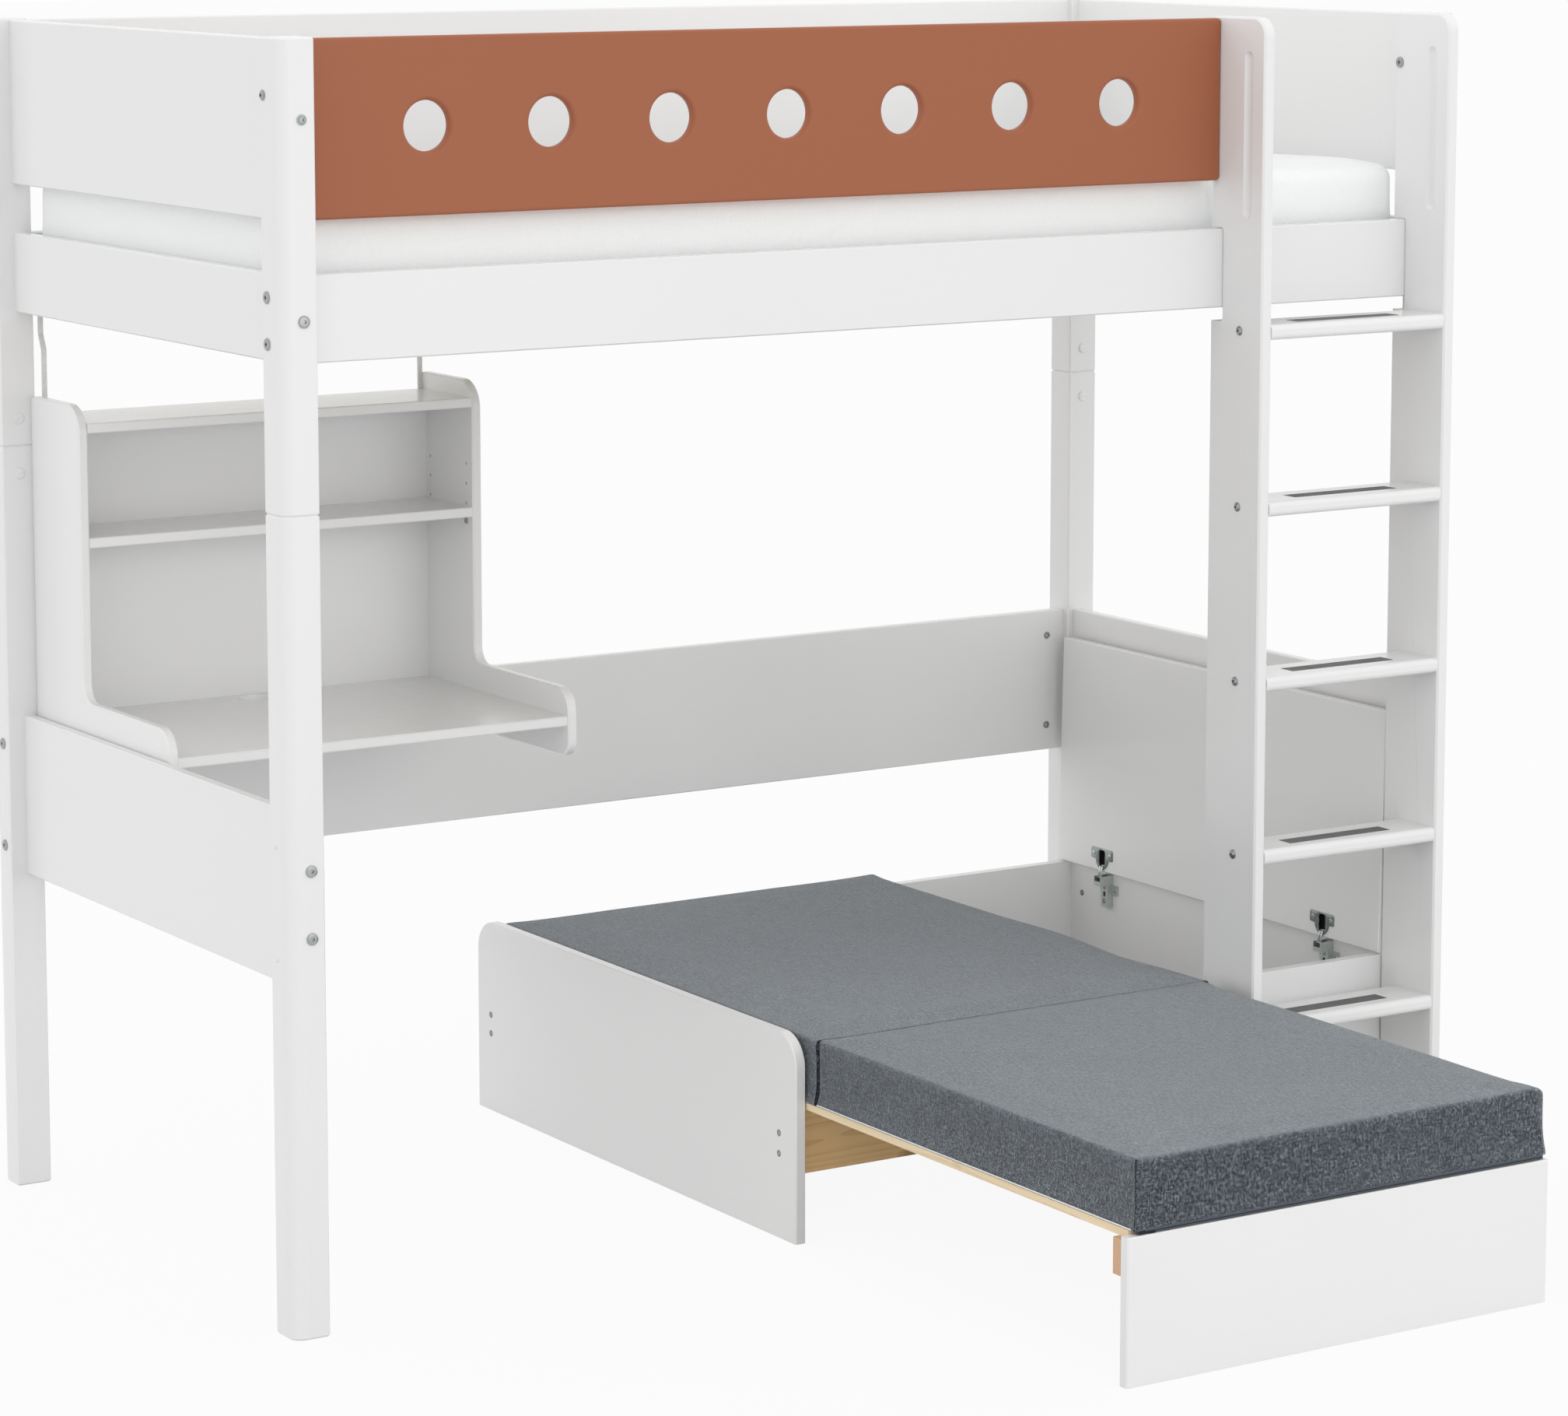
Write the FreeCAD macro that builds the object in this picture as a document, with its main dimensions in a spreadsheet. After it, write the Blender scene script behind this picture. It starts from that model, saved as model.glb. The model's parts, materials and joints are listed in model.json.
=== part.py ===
import FreeCAD, Part
import math
import os
import Sketcher

# Loft bed with a ladder, a hang-on desk, a sofa with a pull-out guest bed and a storage box.
# The long side lies along X, the open front faces -Y and Z is up. Places are counted from the
# outer front left post corner on the floor, and every piece is then shifted so that the origin
# lies under the middle of the whole object.

SIZES = {
    # Bed frame, made to the mattress
    "bed_mattress_length": 2000,
    "bed_mattress_width": 900,
    "mattress_end_gap": 3,
    "mattress_post_gap": 5.5,
    "post_width": 57,
    "post_rise": 3,
    "split_height": 1179,
    "post_corner_round": 20,
    "post_edge_chamfer": 2,
    "post_end_chamfer": 2.5,
    "dowel_diameter": 25,
    "dowel_length": 120,
    "dowel_clearance": 0.2,
    # Rails, guards and panels
    "board_inset": 27,
    "board_thick": 18,
    "board_height": 252,
    "board_chamfer": 2,
    "rail_thick": 28,
    "rail_low": 1388,
    "rail_height": 123,
    "guard_gap": 75,
    "panel_low": 502,
    "hole_diameter": 72,
    "hole_margin": 194.9,
    "hole_chamfer": 5,
    "guard_round": 6,
    # Bed base and mattress
    "ledger_rise": 8,
    "ledger_height": 30,
    "ledger_thick": 20,
    "bed_slat_thick": 18,
    "bed_slat_width": 70,
    "bed_slat_margin": 60,
    "bed_slat_end_gap": 4,
    "bed_mattress_height": 156,
    "bed_mattress_crown": 6,
    "bed_mattress_edge": 32,
    "soft_gap": 0.3,
    # Ladder
    "ladder_overhang": 73,
    "guard_setback": 36,
    "stringer_thick": 21,
    "stringer_round": 28,
    "stringer_edge_chamfer": 3,
    "ladder_gap": 346,
    "notch_over": 2,
    "notch_under": 22,
    "notch_clearance": 1.5,
    "notch_round": 6,
    "groove_half_width": 10.5,
    "groove_cutter_radius": 13.5,
    "groove_length": 259,
    "groove_drop": 52,
    "groove_setback": 29,
    "groove_depth": 5,
    "rung_first": 260,
    "rung_last_drop": 21.2,
    "rung_thick": 24,
    "rung_depth": 90,
    "rung_nose": 9,
    "grip_length": 203,
    "grip_width": 30,
    "grip_setback": 26,
    "grip_thick": 1.5,
    "grip_proud": 0.4,
    # Desk
    "desk_end_gap": 3.5,
    "desk_post_gap": 2,
    "desk_width": 700,
    "desk_depth": 480,
    "desk_drop": 696,
    "desk_height": 564,
    "desk_side_thick": 16,
    "desk_side_chamfer": 2.5,
    "desk_upright_depth": 177,
    "desk_arm_height": 108,
    "desk_head_round": 45,
    "desk_elbow_round": 28,
    "desk_tip_round": 38,
    "desk_toe_round": 26,
    "desk_heel_round": 8,
    "desk_top_thick": 16,
    "desk_top_rise": 65,
    "desk_top_setback": 4,
    "desk_back_thick": 12,
    "desk_back_recess": 10,
    "shelf_thick": 16,
    "shelf_setback": 2,
    "shelf_upper_drop": 27,
    "shelf_lower_drop": 204,
    "shelf_round": 2.5,
    "cable_hole_diameter": 56,
    "cable_hole_setback": 39,
    "pin_hole_diameter": 5,
    "pin_hole_depth": 9,
    "pin_pitch": 32,
    "pin_front_setback": 20,
    "pin_back_setback": 12,
    "pin_rise": 21,
    "clip_width": 8,
    "clip_drop": 12,
    "clip_reach": 8,
    "clip_thick": 2,
    "hanger_width": 8,
    "hanger_thick": 3,
    "hanger_tail": 130,
    "hanger_bend_drop": 36,
    "hanger_joggle": 24,
    "hanger_grip": 60,
    "hanger_room": 0.5,
    # Sofa
    "sofa_front": 8,
    "side_setback": 22,
    "sofa_back_gap": 3,
    "sofa_side_height": 322,
    "sofa_side_round": 50,
    "sofa_side_chamfer": 2,
    "seat_width": 752.5,
    "cross_board_thick": 20,
    "cross_board_height": 110,
    "cross_board_setback": 60,
    "cross_board_tail": 34,
    "platform_height": 207,
    "run_gap": 0.3,
    "slat_thick": 11,
    "slat_width": 56,
    "slat_edge_gap": 2,
    # Folding mattress
    "pad_height": 98,
    "pad_crown": 9,
    "pad_edge": 13,
    "pad_pull": 4,
    "pad_side_gap": 1,
    "pad_back_gap": 37,
    "pad_fold_gap": 1.5,
    "pad_front_setback": 3,
    # Storage box
    "box_height": 303,
    "box_length": 403.5,
    "box_front_gap": 0.5,
    "box_back_gap": 12.5,
    "box_wall": 18,
    "box_post_gap": 3,
    "box_floor_rise": 20,
    "box_floor_thick": 12,
    "lid_seat_gap": 2.5,
    "lid_thick": 18,
    "lid_gap": 1.5,
    "lid_overlay": 6,
    "lid_round": 2,
    # Pull-out guest bed
    "guest_hold": 212,
    "guest_side_reveal": 7,
    "guest_box_reveal": 5.5,
    "guest_height": 213,
    "guest_thick": 18,
    "batten_thick": 20,
    "batten_height": 53,
    "rear_batten_height": 30,
    "guest_stop_gap": 1,
    "guest_slat_tail": 21,
    # Concealed hinges
    "hinge_front": 146,
    "hinge_back": 134,
    "cup_diameter": 35,
    "cup_depth": 11.5,
    "cup_wall": 1,
    "cup_setback": 22,
    "flange_width": 63,
    "flange_height": 20,
    "flange_offset": 9,
    "flange_thick": 1.2,
    "link_width": 10,
    "link_thick": 2,
    "link_eye": 5,
    "pin_diameter": 3,
    "pin_clearance": 0.08,
    "lid_pin_setback": 9.5,
    "lid_pin_depth": 4,
    "link_reach": 20,
    "link_bend_drop": 7,
    "link_bend_out": 5,
    "link_elbow_out": 2.5,
    "lid_foot_inset": 17.6,
    "lid_foot_rise": 3,
    "arm_width": 20,
    "arm_wall": 1.6,
    "arm_length": 57,
    "arm_depth": 10,
    "nose_reach": 28,
    "nose_height": 17,
    "nose_mouth": 9,
    "plate_width": 52,
    "plate_height": 18,
    "plate_thick": 2,
    "plate_drop": 31,
    # All cuts run past the surface by this much
    "overrun": 1,
}

LID_LEAN = 1.3
RUNGS = 5
GUARD_HOLES = 7
BED_SLATS = 14
GUEST_SLATS = 6
PIN_ROWS = 3

doc = FreeCAD.newDocument("loft_bed")
sheet = doc.addObject("Spreadsheet::Sheet", "sizes")
for row, (alias, length) in enumerate(SIZES.items(), start=1):
    sheet.set(f"A{row}", alias.replace("_", " "))
    sheet.set(f"B{row}", str(length))
    sheet.setAlias(f"B{row}", alias)
doc.recompute()


class Dim:
    """A length: its value in millimetres and the sheet expression that gives it."""

    def __init__(self, value, text):
        self.value = float(value)
        self.text = text

    def __float__(self):
        return self.value

    def __add__(self, other):
        other = dim(other)
        return Dim(self.value + other.value, f"({self.text} + {other.text})")

    def __sub__(self, other):
        other = dim(other)
        return Dim(self.value - other.value, f"({self.text} - {other.text})")

    def __mul__(self, factor):
        return Dim(self.value * factor, f"({self.text} * {factor})")

    def __truediv__(self, factor):
        return Dim(self.value / factor, f"({self.text} / {factor})")

    def __neg__(self):
        return Dim(-self.value, f"(0 - {self.text})")


def dim(value):
    """A Dim as it is, or a plain number as a Dim."""
    return value if isinstance(value, Dim) else Dim(value, repr(value))


def size(alias):
    """The Dim of one cell of the sheet."""
    return Dim(sheet.get(alias), "sizes." + alias)


# The mattress gives the frame its length and width, and the rail's height everything that hangs on
# the rail or stands above it. The guest bed stays under the sofa by a fixed hold when drawn out.

ZERO = dim(0)
half_post = size("post_width") / 2
board_inner = size("board_inset") + size("board_thick")
rail_inner = size("board_inset") + size("rail_thick")
bed_length = size("bed_mattress_length") + (board_inner + size("mattress_end_gap")) * 2
bed_width = size("bed_mattress_width") + (size("post_width") + size("mattress_post_gap")) * 2
inner_right = bed_length - size("post_width")
inner_back = bed_width - size("post_width")
rail_top = size("rail_low") + size("rail_height")
guard_low = rail_top + size("guard_gap")
guard_top = guard_low + size("board_height")
post_top = guard_top + size("post_rise")
panel_top = size("panel_low") + size("board_height")
desk_low = size("rail_low") - size("desk_drop")
sofa_back = bed_width - size("sofa_back_gap")
guest_reach = sofa_back - size("sofa_front") - size("guest_hold")
overrun = size("overrun")
centre_x = bed_length / 2
centre_y = (bed_width - guest_reach) / 2


def bind(feature, name, length):
    """Tie a property of a document object to the sheet."""
    feature.setExpression(name, dim(length).text)


def new_body(label):
    """An empty body, shifted from the post corner to the part's origin."""
    body = doc.addObject("PartDesign::Body", label)
    body.Label = label
    bind(body, "Placement.Base.x", -centre_x)
    bind(body, "Placement.Base.y", -centre_y)
    return body


def add_block(body, low, high, kind="Additive"):
    """Add, or with Subtractive cut, a block between two corners."""
    block = body.newObject(f"PartDesign::{kind}Box", f"{body.Name}_block")
    for name, axis, start, end in zip(("Length", "Width", "Height"), "xyz", low, high):
        bind(block, name, dim(end) - start)
        bind(block, f"Placement.Base.{axis}", start)
    doc.recompute()
    return block


TURNS = {
    "x": FreeCAD.Rotation(FreeCAD.Vector(0, 1, 0), 90),
    "y": FreeCAD.Rotation(FreeCAD.Vector(1, 0, 0), -90),
    "z": FreeCAD.Rotation(),
}


def drill(body, start, axis, length, diameter):
    """Bore a round hole from a point along an axis."""
    bore = body.newObject("PartDesign::SubtractiveCylinder", f"{body.Name}_bore")
    bore.Placement = FreeCAD.Placement(FreeCAD.Vector(), TURNS[axis])
    bind(bore, "Radius", dim(diameter) / 2)
    bind(bore, "Height", length)
    for letter, place in zip("xyz", start):
        bind(bore, f"Placement.Base.{letter}", place)
    doc.recompute()
    return bore


def runs_along(*axes):
    """Picks straight edges that run along one of the axes."""
    units = {"x": FreeCAD.Vector(1, 0, 0), "y": FreeCAD.Vector(0, 1, 0), "z": FreeCAD.Vector(0, 0, 1)}

    def wanted(edge):
        if not isinstance(edge.Curve, Part.Line):
            return False
        return any(abs(edge.Curve.Direction.dot(units[axis])) > 0.999 for axis in axes)
    return wanted


def lies_at(**places):
    """Picks edges whose middle has the given coordinates."""
    def wanted(edge):
        middle = edge.CenterOfMass
        return all(abs(getattr(middle, axis) - float(place)) < float(overrun) / 2
                   for axis, place in places.items())
    return wanted


def both(first, second):
    """Picks the edges that two rules agree on."""
    return lambda edge: first(edge) and second(edge)


def dress(body, kind, radius, wanted):
    """Round or chamfer the chosen edges of what the body is so far."""
    tip = body.Tip
    names = [f"Edge{number}" for number, edge in enumerate(tip.Shape.Edges, start=1) if wanted(edge)]
    feature = body.newObject(f"PartDesign::{kind}", f"{body.Name}_{kind}")
    feature.Base = (tip, names)
    bind(feature, "Radius" if kind == "Fillet" else "Size", radius)
    doc.recompute()
    return feature


def board(label, low, high, long_axis):
    """A plain board with its long edges bevelled."""
    body = new_body(label)
    add_block(body, low, high)
    dress(body, "Chamfer", size("board_chamfer"), runs_along(long_axis))
    return body


def add_profile(body, plane, points, thick):
    """Pad a straight-sided outline from an origin plane; every corner is tied to the sheet."""
    sketch = body.newObject("Sketcher::SketchObject", f"{body.Name}_outline")
    support = next(item for item in body.Origin.OriginFeatures if item.Role == plane)
    sketch.AttachmentSupport = (support, [""])
    sketch.MapMode = "FlatFace"
    corners = [FreeCAD.Vector(float(across), float(up), 0) for across, up in points]
    count = len(corners)
    for number, corner in enumerate(corners):
        sketch.addGeometry(Part.LineSegment(corner, corners[(number + 1) % count]), False)
    for number in range(count):
        sketch.addConstraint(Sketcher.Constraint("Coincident", number, 2, (number + 1) % count, 1))
    for number, (across, up) in enumerate(points):
        for kind, length in (("DistanceX", across), ("DistanceY", up)):
            spot = sketch.addConstraint(Sketcher.Constraint(kind, -1, 1, number, 1, float(length)))
            sketch.setExpression(f"Constraints[{spot}]", dim(length).text)
    pad = body.newObject("PartDesign::Pad", f"{body.Name}_pad")
    pad.Profile = sketch
    bind(pad, "Length", thick)
    doc.recompute()
    return pad


def solid_node(label, shape):
    """A piece, or a group of pieces, whose shape is worked out here."""
    node = doc.addObject("Part::Feature", label)
    node.Label = label
    node.Shape = shape
    shift = FreeCAD.Placement(FreeCAD.Vector(-float(centre_x), -float(centre_y), 0), FreeCAD.Rotation())
    node.Placement = shift * shape.Placement
    return node


def vector(x, y, z):
    """A point from three lengths."""
    return FreeCAD.Vector(float(x), float(y), float(z))


def box_shape(low, high):
    """A block between two corners."""
    start = vector(*low)
    span = vector(*high) - start
    return Part.makeBox(span.x, span.y, span.z, start)


def rod_shape(start, axis, length, diameter):
    """A round rod from a point along an axis vector."""
    return Part.makeCylinder(float(diameter) / 2, float(length), vector(*start), axis)


X_AXIS = FreeCAD.Vector(1, 0, 0)
Y_AXIS = FreeCAD.Vector(0, 1, 0)
Z_AXIS = FreeCAD.Vector(0, 0, 1)

# Posts and legs. Each corner of the frame is an upper post on a lower leg, joined by a hidden
# dowel. The outer corner has the large round, the other three a small bevel.

CORNERS = {
    "front_left": (0, 0),
    "front_right": (1, 0),
    "back_left": (0, 1),
    "back_right": (1, 1),
}


def corner_low(right, back):
    """Lower corner of a post in plan."""
    return inner_right * right + ZERO, inner_back * back + ZERO


def upright(label, right, back, low, high, dowel_at):
    """One post or leg, with the bore for its dowel."""
    body = new_body(label)
    x, y = corner_low(right, back)
    width = size("post_width")
    add_block(body, (x, y, low), (x + width, y + width, high))
    outer = lies_at(x=x + width * right, y=y + width * back)
    dress(body, "Chamfer", size("post_edge_chamfer"), both(runs_along("z"), lambda edge: not outer(edge)))
    dress(body, "Fillet", size("post_corner_round"), both(runs_along("z"), outer))
    rim = float(high), float(low)
    ends = lambda edge: min(abs(edge.CenterOfMass.z - level) for level in rim) < float(overrun) / 2
    dress(body, "Chamfer", size("post_end_chamfer"), ends)
    depth = size("dowel_length") / 2 + overrun
    bore = size("dowel_diameter") + size("dowel_clearance") * 2
    drill(body, (x + width / 2, y + width / 2, dowel_at), "z", depth, bore)
    return body


for corner, (right, back) in CORNERS.items():
    split = size("split_height")
    upright(f"post_{corner}", right, back, split, post_top, split)
    leg_bore = split - size("dowel_length") / 2 - overrun
    upright(f"leg_{corner}", right, back, ZERO, split, leg_bore)

dowels = []
for right, back in CORNERS.values():
    x, y = corner_low(right, back)
    foot = (x + half_post, y + half_post, size("split_height") - size("dowel_length") / 2)
    dowels.append(rod_shape(foot, Z_AXIS, size("dowel_length"), size("dowel_diameter")))
solid_node("leg_dowels", Part.makeCompound(dowels))

# Rails, guards and panels between the posts. The long boards run along X, the end boards along Y.

post = size("post_width")
inset = size("board_inset")
back_outer = bed_width - inset
right_outer = bed_length - inset


def long_board(label, front, back, low, high):
    """A board along X between the posts."""
    return board(label, (post, front, low), (inner_right, back, high), "x")


def end_board(label, left, right, low, high):
    """A board along Y between the posts."""
    return board(label, (left, post, low), (right, inner_back, high), "y")


thick = size("board_thick")
long_board("bed_rail_front", inset, rail_inner, size("rail_low"), rail_top)
long_board("bed_rail_back", back_outer - size("rail_thick"), back_outer, size("rail_low"), rail_top)
long_board("back_guard", back_outer - thick, back_outer, guard_low, guard_top)
long_board("back_panel", back_outer - thick, back_outer, size("panel_low"), panel_top)
END_LEVELS = {
    "end_rail": (size("rail_low"), rail_top),
    "end_guard": (guard_low, guard_top),
    "end_panel": (size("panel_low"), panel_top),
}
for stem, (low, high) in END_LEVELS.items():
    end_board(f"{stem}_left", inset, board_inner, low, high)
    end_board(f"{stem}_right", right_outer - thick, right_outer, low, high)

# Front guard: it stops at the left ladder side, flush with its back edge, and has round corners and
# a row of round holes with bevelled rims.

guard_front = size("guard_setback")
stringer_back = guard_front + thick
stringer_front = -size("ladder_overhang")
right_stringer = inner_right - size("stringer_thick")
left_stringer = right_stringer - size("ladder_gap") - size("stringer_thick")
guard = new_body("front_guard")
add_block(guard, (post, guard_front, guard_low), (left_stringer, stringer_back, guard_top))
dress(guard, "Fillet", size("guard_round"), runs_along("y"))
dress(guard, "Chamfer", size("board_chamfer"), lambda edge: not runs_along("y")(edge))
hole_first = post + size("hole_margin")
hole_pitch = (left_stringer - size("hole_margin") - hole_first) / (GUARD_HOLES - 1)
for number in range(GUARD_HOLES):
    across = hole_first + hole_pitch * number
    start = (across, guard_front - overrun, guard_low + size("board_height") / 2)
    drill(guard, start, "y", thick + overrun * 2, size("hole_diameter"))
dress(guard, "Chamfer", size("hole_chamfer"), lambda edge: isinstance(edge.Curve, Part.Circle)
      and abs(edge.Curve.Radius * 2 - float(size("hole_diameter"))) < float(overrun) / 2)

# Bed base: a ledger on each long rail carries the slats. The back ledger is notched where the desk
# hangers pass between it and the rail.

rail_back_inner = back_outer - size("rail_thick")
ledger_low = size("rail_low") + size("ledger_rise")
slat_low = ledger_low + size("ledger_height")
mattress_low = slat_low + size("bed_slat_thick") + size("soft_gap")
desk_left = board_inner + size("desk_end_gap")
desk_right = desk_left + size("desk_width")
hanger_lefts = (
    desk_left + size("desk_side_thick"),
    desk_right - size("desk_side_thick") - size("hanger_width"),
)
hanger_room = size("hanger_room")
hanger_face = rail_back_inner - size("hanger_thick")
ledger_front = box_shape(
    (post, rail_inner, ledger_low), (inner_right, rail_inner + size("ledger_thick"), slat_low))
ledger_back = box_shape(
    (post, rail_back_inner - size("ledger_thick"), ledger_low), (inner_right, rail_back_inner, slat_low))
for left in hanger_lefts:
    notch_low = (left - hanger_room, hanger_face - hanger_room, ledger_low - overrun)
    notch_high = (left + size("hanger_width") + hanger_room, rail_back_inner + overrun, slat_low + overrun)
    ledger_back = ledger_back.cut(box_shape(notch_low, notch_high))
solid_node("slat_ledgers", Part.makeCompound([ledger_front, ledger_back]))

slats = []
slat_first = board_inner + size("bed_slat_margin")
slat_span = bed_length - slat_first * 2 - size("bed_slat_width")
for number in range(BED_SLATS):
    left = slat_first + slat_span * (number / (BED_SLATS - 1))
    low = (left, rail_inner + size("bed_slat_end_gap"), slat_low)
    high = (left + size("bed_slat_width"), rail_back_inner - size("bed_slat_end_gap"),
            slat_low + size("bed_slat_thick"))
    slats.append(box_shape(low, high))
solid_node("bed_slats", Part.makeCompound(slats))


def pad_section(half, low, top, crown, edge, swell):
    """Closed outline across a pad: flat bevelled base, swelling sides, round edges, crowned top."""
    half = float(half)
    base = edge * BASE_EDGE_SHARE
    knee = edge * (1 - math.sqrt(0.5))
    middle = (low + base + top - edge) / 2

    def line(*spots):
        return Part.makeLine(*[FreeCAD.Vector(x, 0, z) for x, z in spots])

    def arc(*spots):
        return Part.Arc(*[FreeCAD.Vector(x, 0, z) for x, z in spots]).toShape()

    edges = [
        line((-half + base, low), (half - base, low)),
        line((half - base, low), (half, low + base)),
        arc((half, low + base), (half + swell, middle), (half, top - edge)),
        arc((half, top - edge), (half - knee, top - knee), (half - edge, top)),
        arc((half - edge, top), (0, top + crown), (-half + edge, top)),
        arc((-half + edge, top), (-half + knee, top - knee), (-half, top - edge)),
        arc((-half, top - edge), (-half - swell, middle), (-half, low + base)),
        line((-half, low + base), (-half + base, low)),
    ]
    return Part.Wire(edges)


BASE_EDGE_SHARE = 1 / 3
PAD_STATION_SHARES = (0, 0.3, 1)
PAD_MIDDLE_SHARES = (0.25, 0.5, 0.75)
LEAST_CROWN_SHARE = 0.15
SWELL_SHARE = 0.15


def pad_shape(length, width, height, crown, edge, pull):
    """A pad along Y from the origin: crowned, with round ends and sides drawn in between corners."""
    length, width, height = float(length), float(width), float(height)
    crown, edge, pull = float(crown), float(edge), float(pull)
    ends = [share * edge for share in PAD_STATION_SHARES]
    middles = [share * length for share in PAD_MIDDLE_SHARES]
    stations = ends + middles + [length - place for place in reversed(ends)]
    wires = []
    for place in stations:
        reach = min(place, length - place, edge)
        drop = edge - math.sqrt(edge ** 2 - (edge - reach) ** 2)
        arch = 1 - (2 * place / length - 1) ** 2
        rise = crown * (LEAST_CROWN_SHARE + (1 - LEAST_CROWN_SHARE) * arch)
        half = width / 2 - SWELL_SHARE * edge - drop - pull * arch
        wire = pad_section(half, 0, height - drop, rise, edge, SWELL_SHARE * edge)
        wire.translate(FreeCAD.Vector(0, place, 0))
        wires.append(wire)
    return Part.makeLoft(wires, True, True)


bed_pad = pad_shape(
    size("bed_mattress_length"), size("bed_mattress_width"),
    size("bed_mattress_height"), size("bed_mattress_crown"), size("bed_mattress_edge"), ZERO)
bed_pad.rotate(FreeCAD.Vector(), Z_AXIS, -90)
bed_pad.translate(vector(
    board_inner + size("mattress_end_gap"), bed_width / 2, mattress_low))
solid_node("bed_mattress", bed_pad)

# Ladder. Each side is a board with a rounded front top corner, a notch that lets the front rail pass
# and a hollow grip groove in both faces. The treads sit between the sides, flush with their front.

grooves_low = post_top - size("groove_drop") - size("groove_length")


def cut_groove(body, face, inward):
    """Hollow groove in a face of a ladder side, as a ball-ended cutter leaves it."""
    radius = size("groove_cutter_radius")
    half = size("groove_half_width")
    across = face + (size("groove_depth") - radius) * inward
    middle = stringer_front + size("groove_setback") + half
    low = grooves_low + half
    high = grooves_low + size("groove_length") - half
    drill(body, (across, middle, low), "z", high - low, radius * 2)
    for level in (low, high):
        ball = body.newObject("PartDesign::SubtractiveSphere", f"{body.Name}_groove_end")
        bind(ball, "Radius", radius)
        for letter, place in zip("xyz", (across, middle, level)):
            bind(ball, f"Placement.Base.{letter}", place)
        doc.recompute()


def stringer(label, left):
    """One ladder side."""
    body = new_body(label)
    right = left + size("stringer_thick")
    add_block(body, (left, stringer_front, ZERO), (right, stringer_back, post_top))
    top_front = lies_at(y=stringer_front, z=post_top)
    dress(body, "Fillet", size("stringer_round"), both(runs_along("x"), top_front))
    front = lambda edge: edge.CenterOfMass.y < float(stringer_front + size("stringer_round"))
    long_side = lambda edge: front(edge) and not runs_along("x")(edge) and edge.CenterOfMass.z > 0
    dress(body, "Chamfer", size("stringer_edge_chamfer"), long_side)
    notch_low = (left - overrun, inset - size("notch_clearance"), size("rail_low") - size("notch_under"))
    notch_high = (right + overrun, stringer_back + overrun, rail_top + size("notch_over"))
    add_block(body, notch_low, notch_high, "Subtractive")
    dress(body, "Fillet", size("notch_round"), both(runs_along("x"), lies_at(y=notch_low[1])))
    for face, inward in ((left, 1), (right, -1)):
        cut_groove(body, face, inward)
    return body


stringer("ladder_stringer_left", left_stringer)
stringer("ladder_stringer_right", right_stringer)

rung_left = left_stringer + size("stringer_thick")
rung_back = stringer_front + size("rung_depth")
grip_left = (rung_left + right_stringer - size("grip_length")) / 2
grip_front = stringer_front + size("grip_setback")
grip_deep = size("grip_thick") - size("grip_proud")
rung_pitch = (size("rail_low") - size("rung_last_drop") - size("rung_first")) / (RUNGS - 1)
grips = []
for number in range(RUNGS):
    top = size("rung_first") + rung_pitch * number
    rung = new_body(f"ladder_rung_{number + 1}")
    add_block(rung, (rung_left, stringer_front, top - size("rung_thick")), (right_stringer, rung_back, top))
    dress(rung, "Fillet", size("rung_nose"), both(runs_along("x"), lies_at(y=stringer_front)))
    dress(rung, "Chamfer", size("board_chamfer"), both(runs_along("x"), lies_at(y=rung_back)))
    low = (grip_left, grip_front, top - grip_deep)
    high = (grip_left + size("grip_length"), grip_front + size("grip_width"), top + size("grip_proud"))
    add_block(rung, low, high, "Subtractive")
    grips.append(box_shape(low, high))
solid_node("rung_grips", Part.makeCompound(grips))

# Desk. Each side is one outline: an upright at the back and a low arm that runs to the front, with
# round corners and a hollow elbow. The table top, the shelves and the back sit between the sides.

desk_back_edge = inner_back - size("desk_post_gap")
desk_front = desk_back_edge - size("desk_depth")
desk_head = desk_low + size("desk_height")
upright_front = desk_back_edge - size("desk_upright_depth")
arm_top = desk_low + size("desk_arm_height")
DESK_ROUNDS = (
    (upright_front, desk_head, "desk_head_round"),
    (upright_front, arm_top, "desk_elbow_round"),
    (desk_front, arm_top, "desk_tip_round"),
    (desk_front, desk_low, "desk_toe_round"),
    (desk_back_edge, desk_head, "desk_heel_round"),
)
shelf_front = upright_front + size("shelf_setback")
shelf_lower_top = desk_head - size("shelf_lower_drop")
shelf_upper_top = desk_head - size("shelf_upper_drop")
desk_back_rear = desk_back_edge - size("desk_back_recess")
desk_back_face = desk_back_rear - size("desk_back_thick")


def desk_side(label, left, inward):
    """One profiled side of the desk, with its rows of shelf-pin holes."""
    body = new_body(label)
    add_profile(body, "YZ_Plane", (
        (desk_front, desk_low),
        (desk_back_edge, desk_low),
        (desk_back_edge, desk_head),
        (upright_front, desk_head),
        (upright_front, arm_top),
        (desk_front, arm_top),
    ), size("desk_side_thick"))
    for across, up, radius in DESK_ROUNDS:
        dress(body, "Fillet", size(radius), both(runs_along("x"), lies_at(y=across, z=up)))
    rim = lambda edge: not runs_along("x")(edge)
    forward = lambda edge: edge.CenterOfMass.y < float(desk_back_edge) - float(overrun)
    dress(body, "Chamfer", size("desk_side_chamfer"), both(rim, forward))
    bind(body, "Placement.Base.x", left - centre_x)
    depth = size("pin_hole_depth")
    start = size("desk_side_thick") - depth if inward > 0 else ZERO
    for across in (shelf_front + size("pin_front_setback"), desk_back_face - size("pin_back_setback")):
        for step in range(PIN_ROWS):
            level = shelf_lower_top + size("pin_rise") - size("shelf_thick") + size("pin_pitch") * step
            drill(body, (start, across, level), "x", depth, size("pin_hole_diameter"))
    return body


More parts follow.
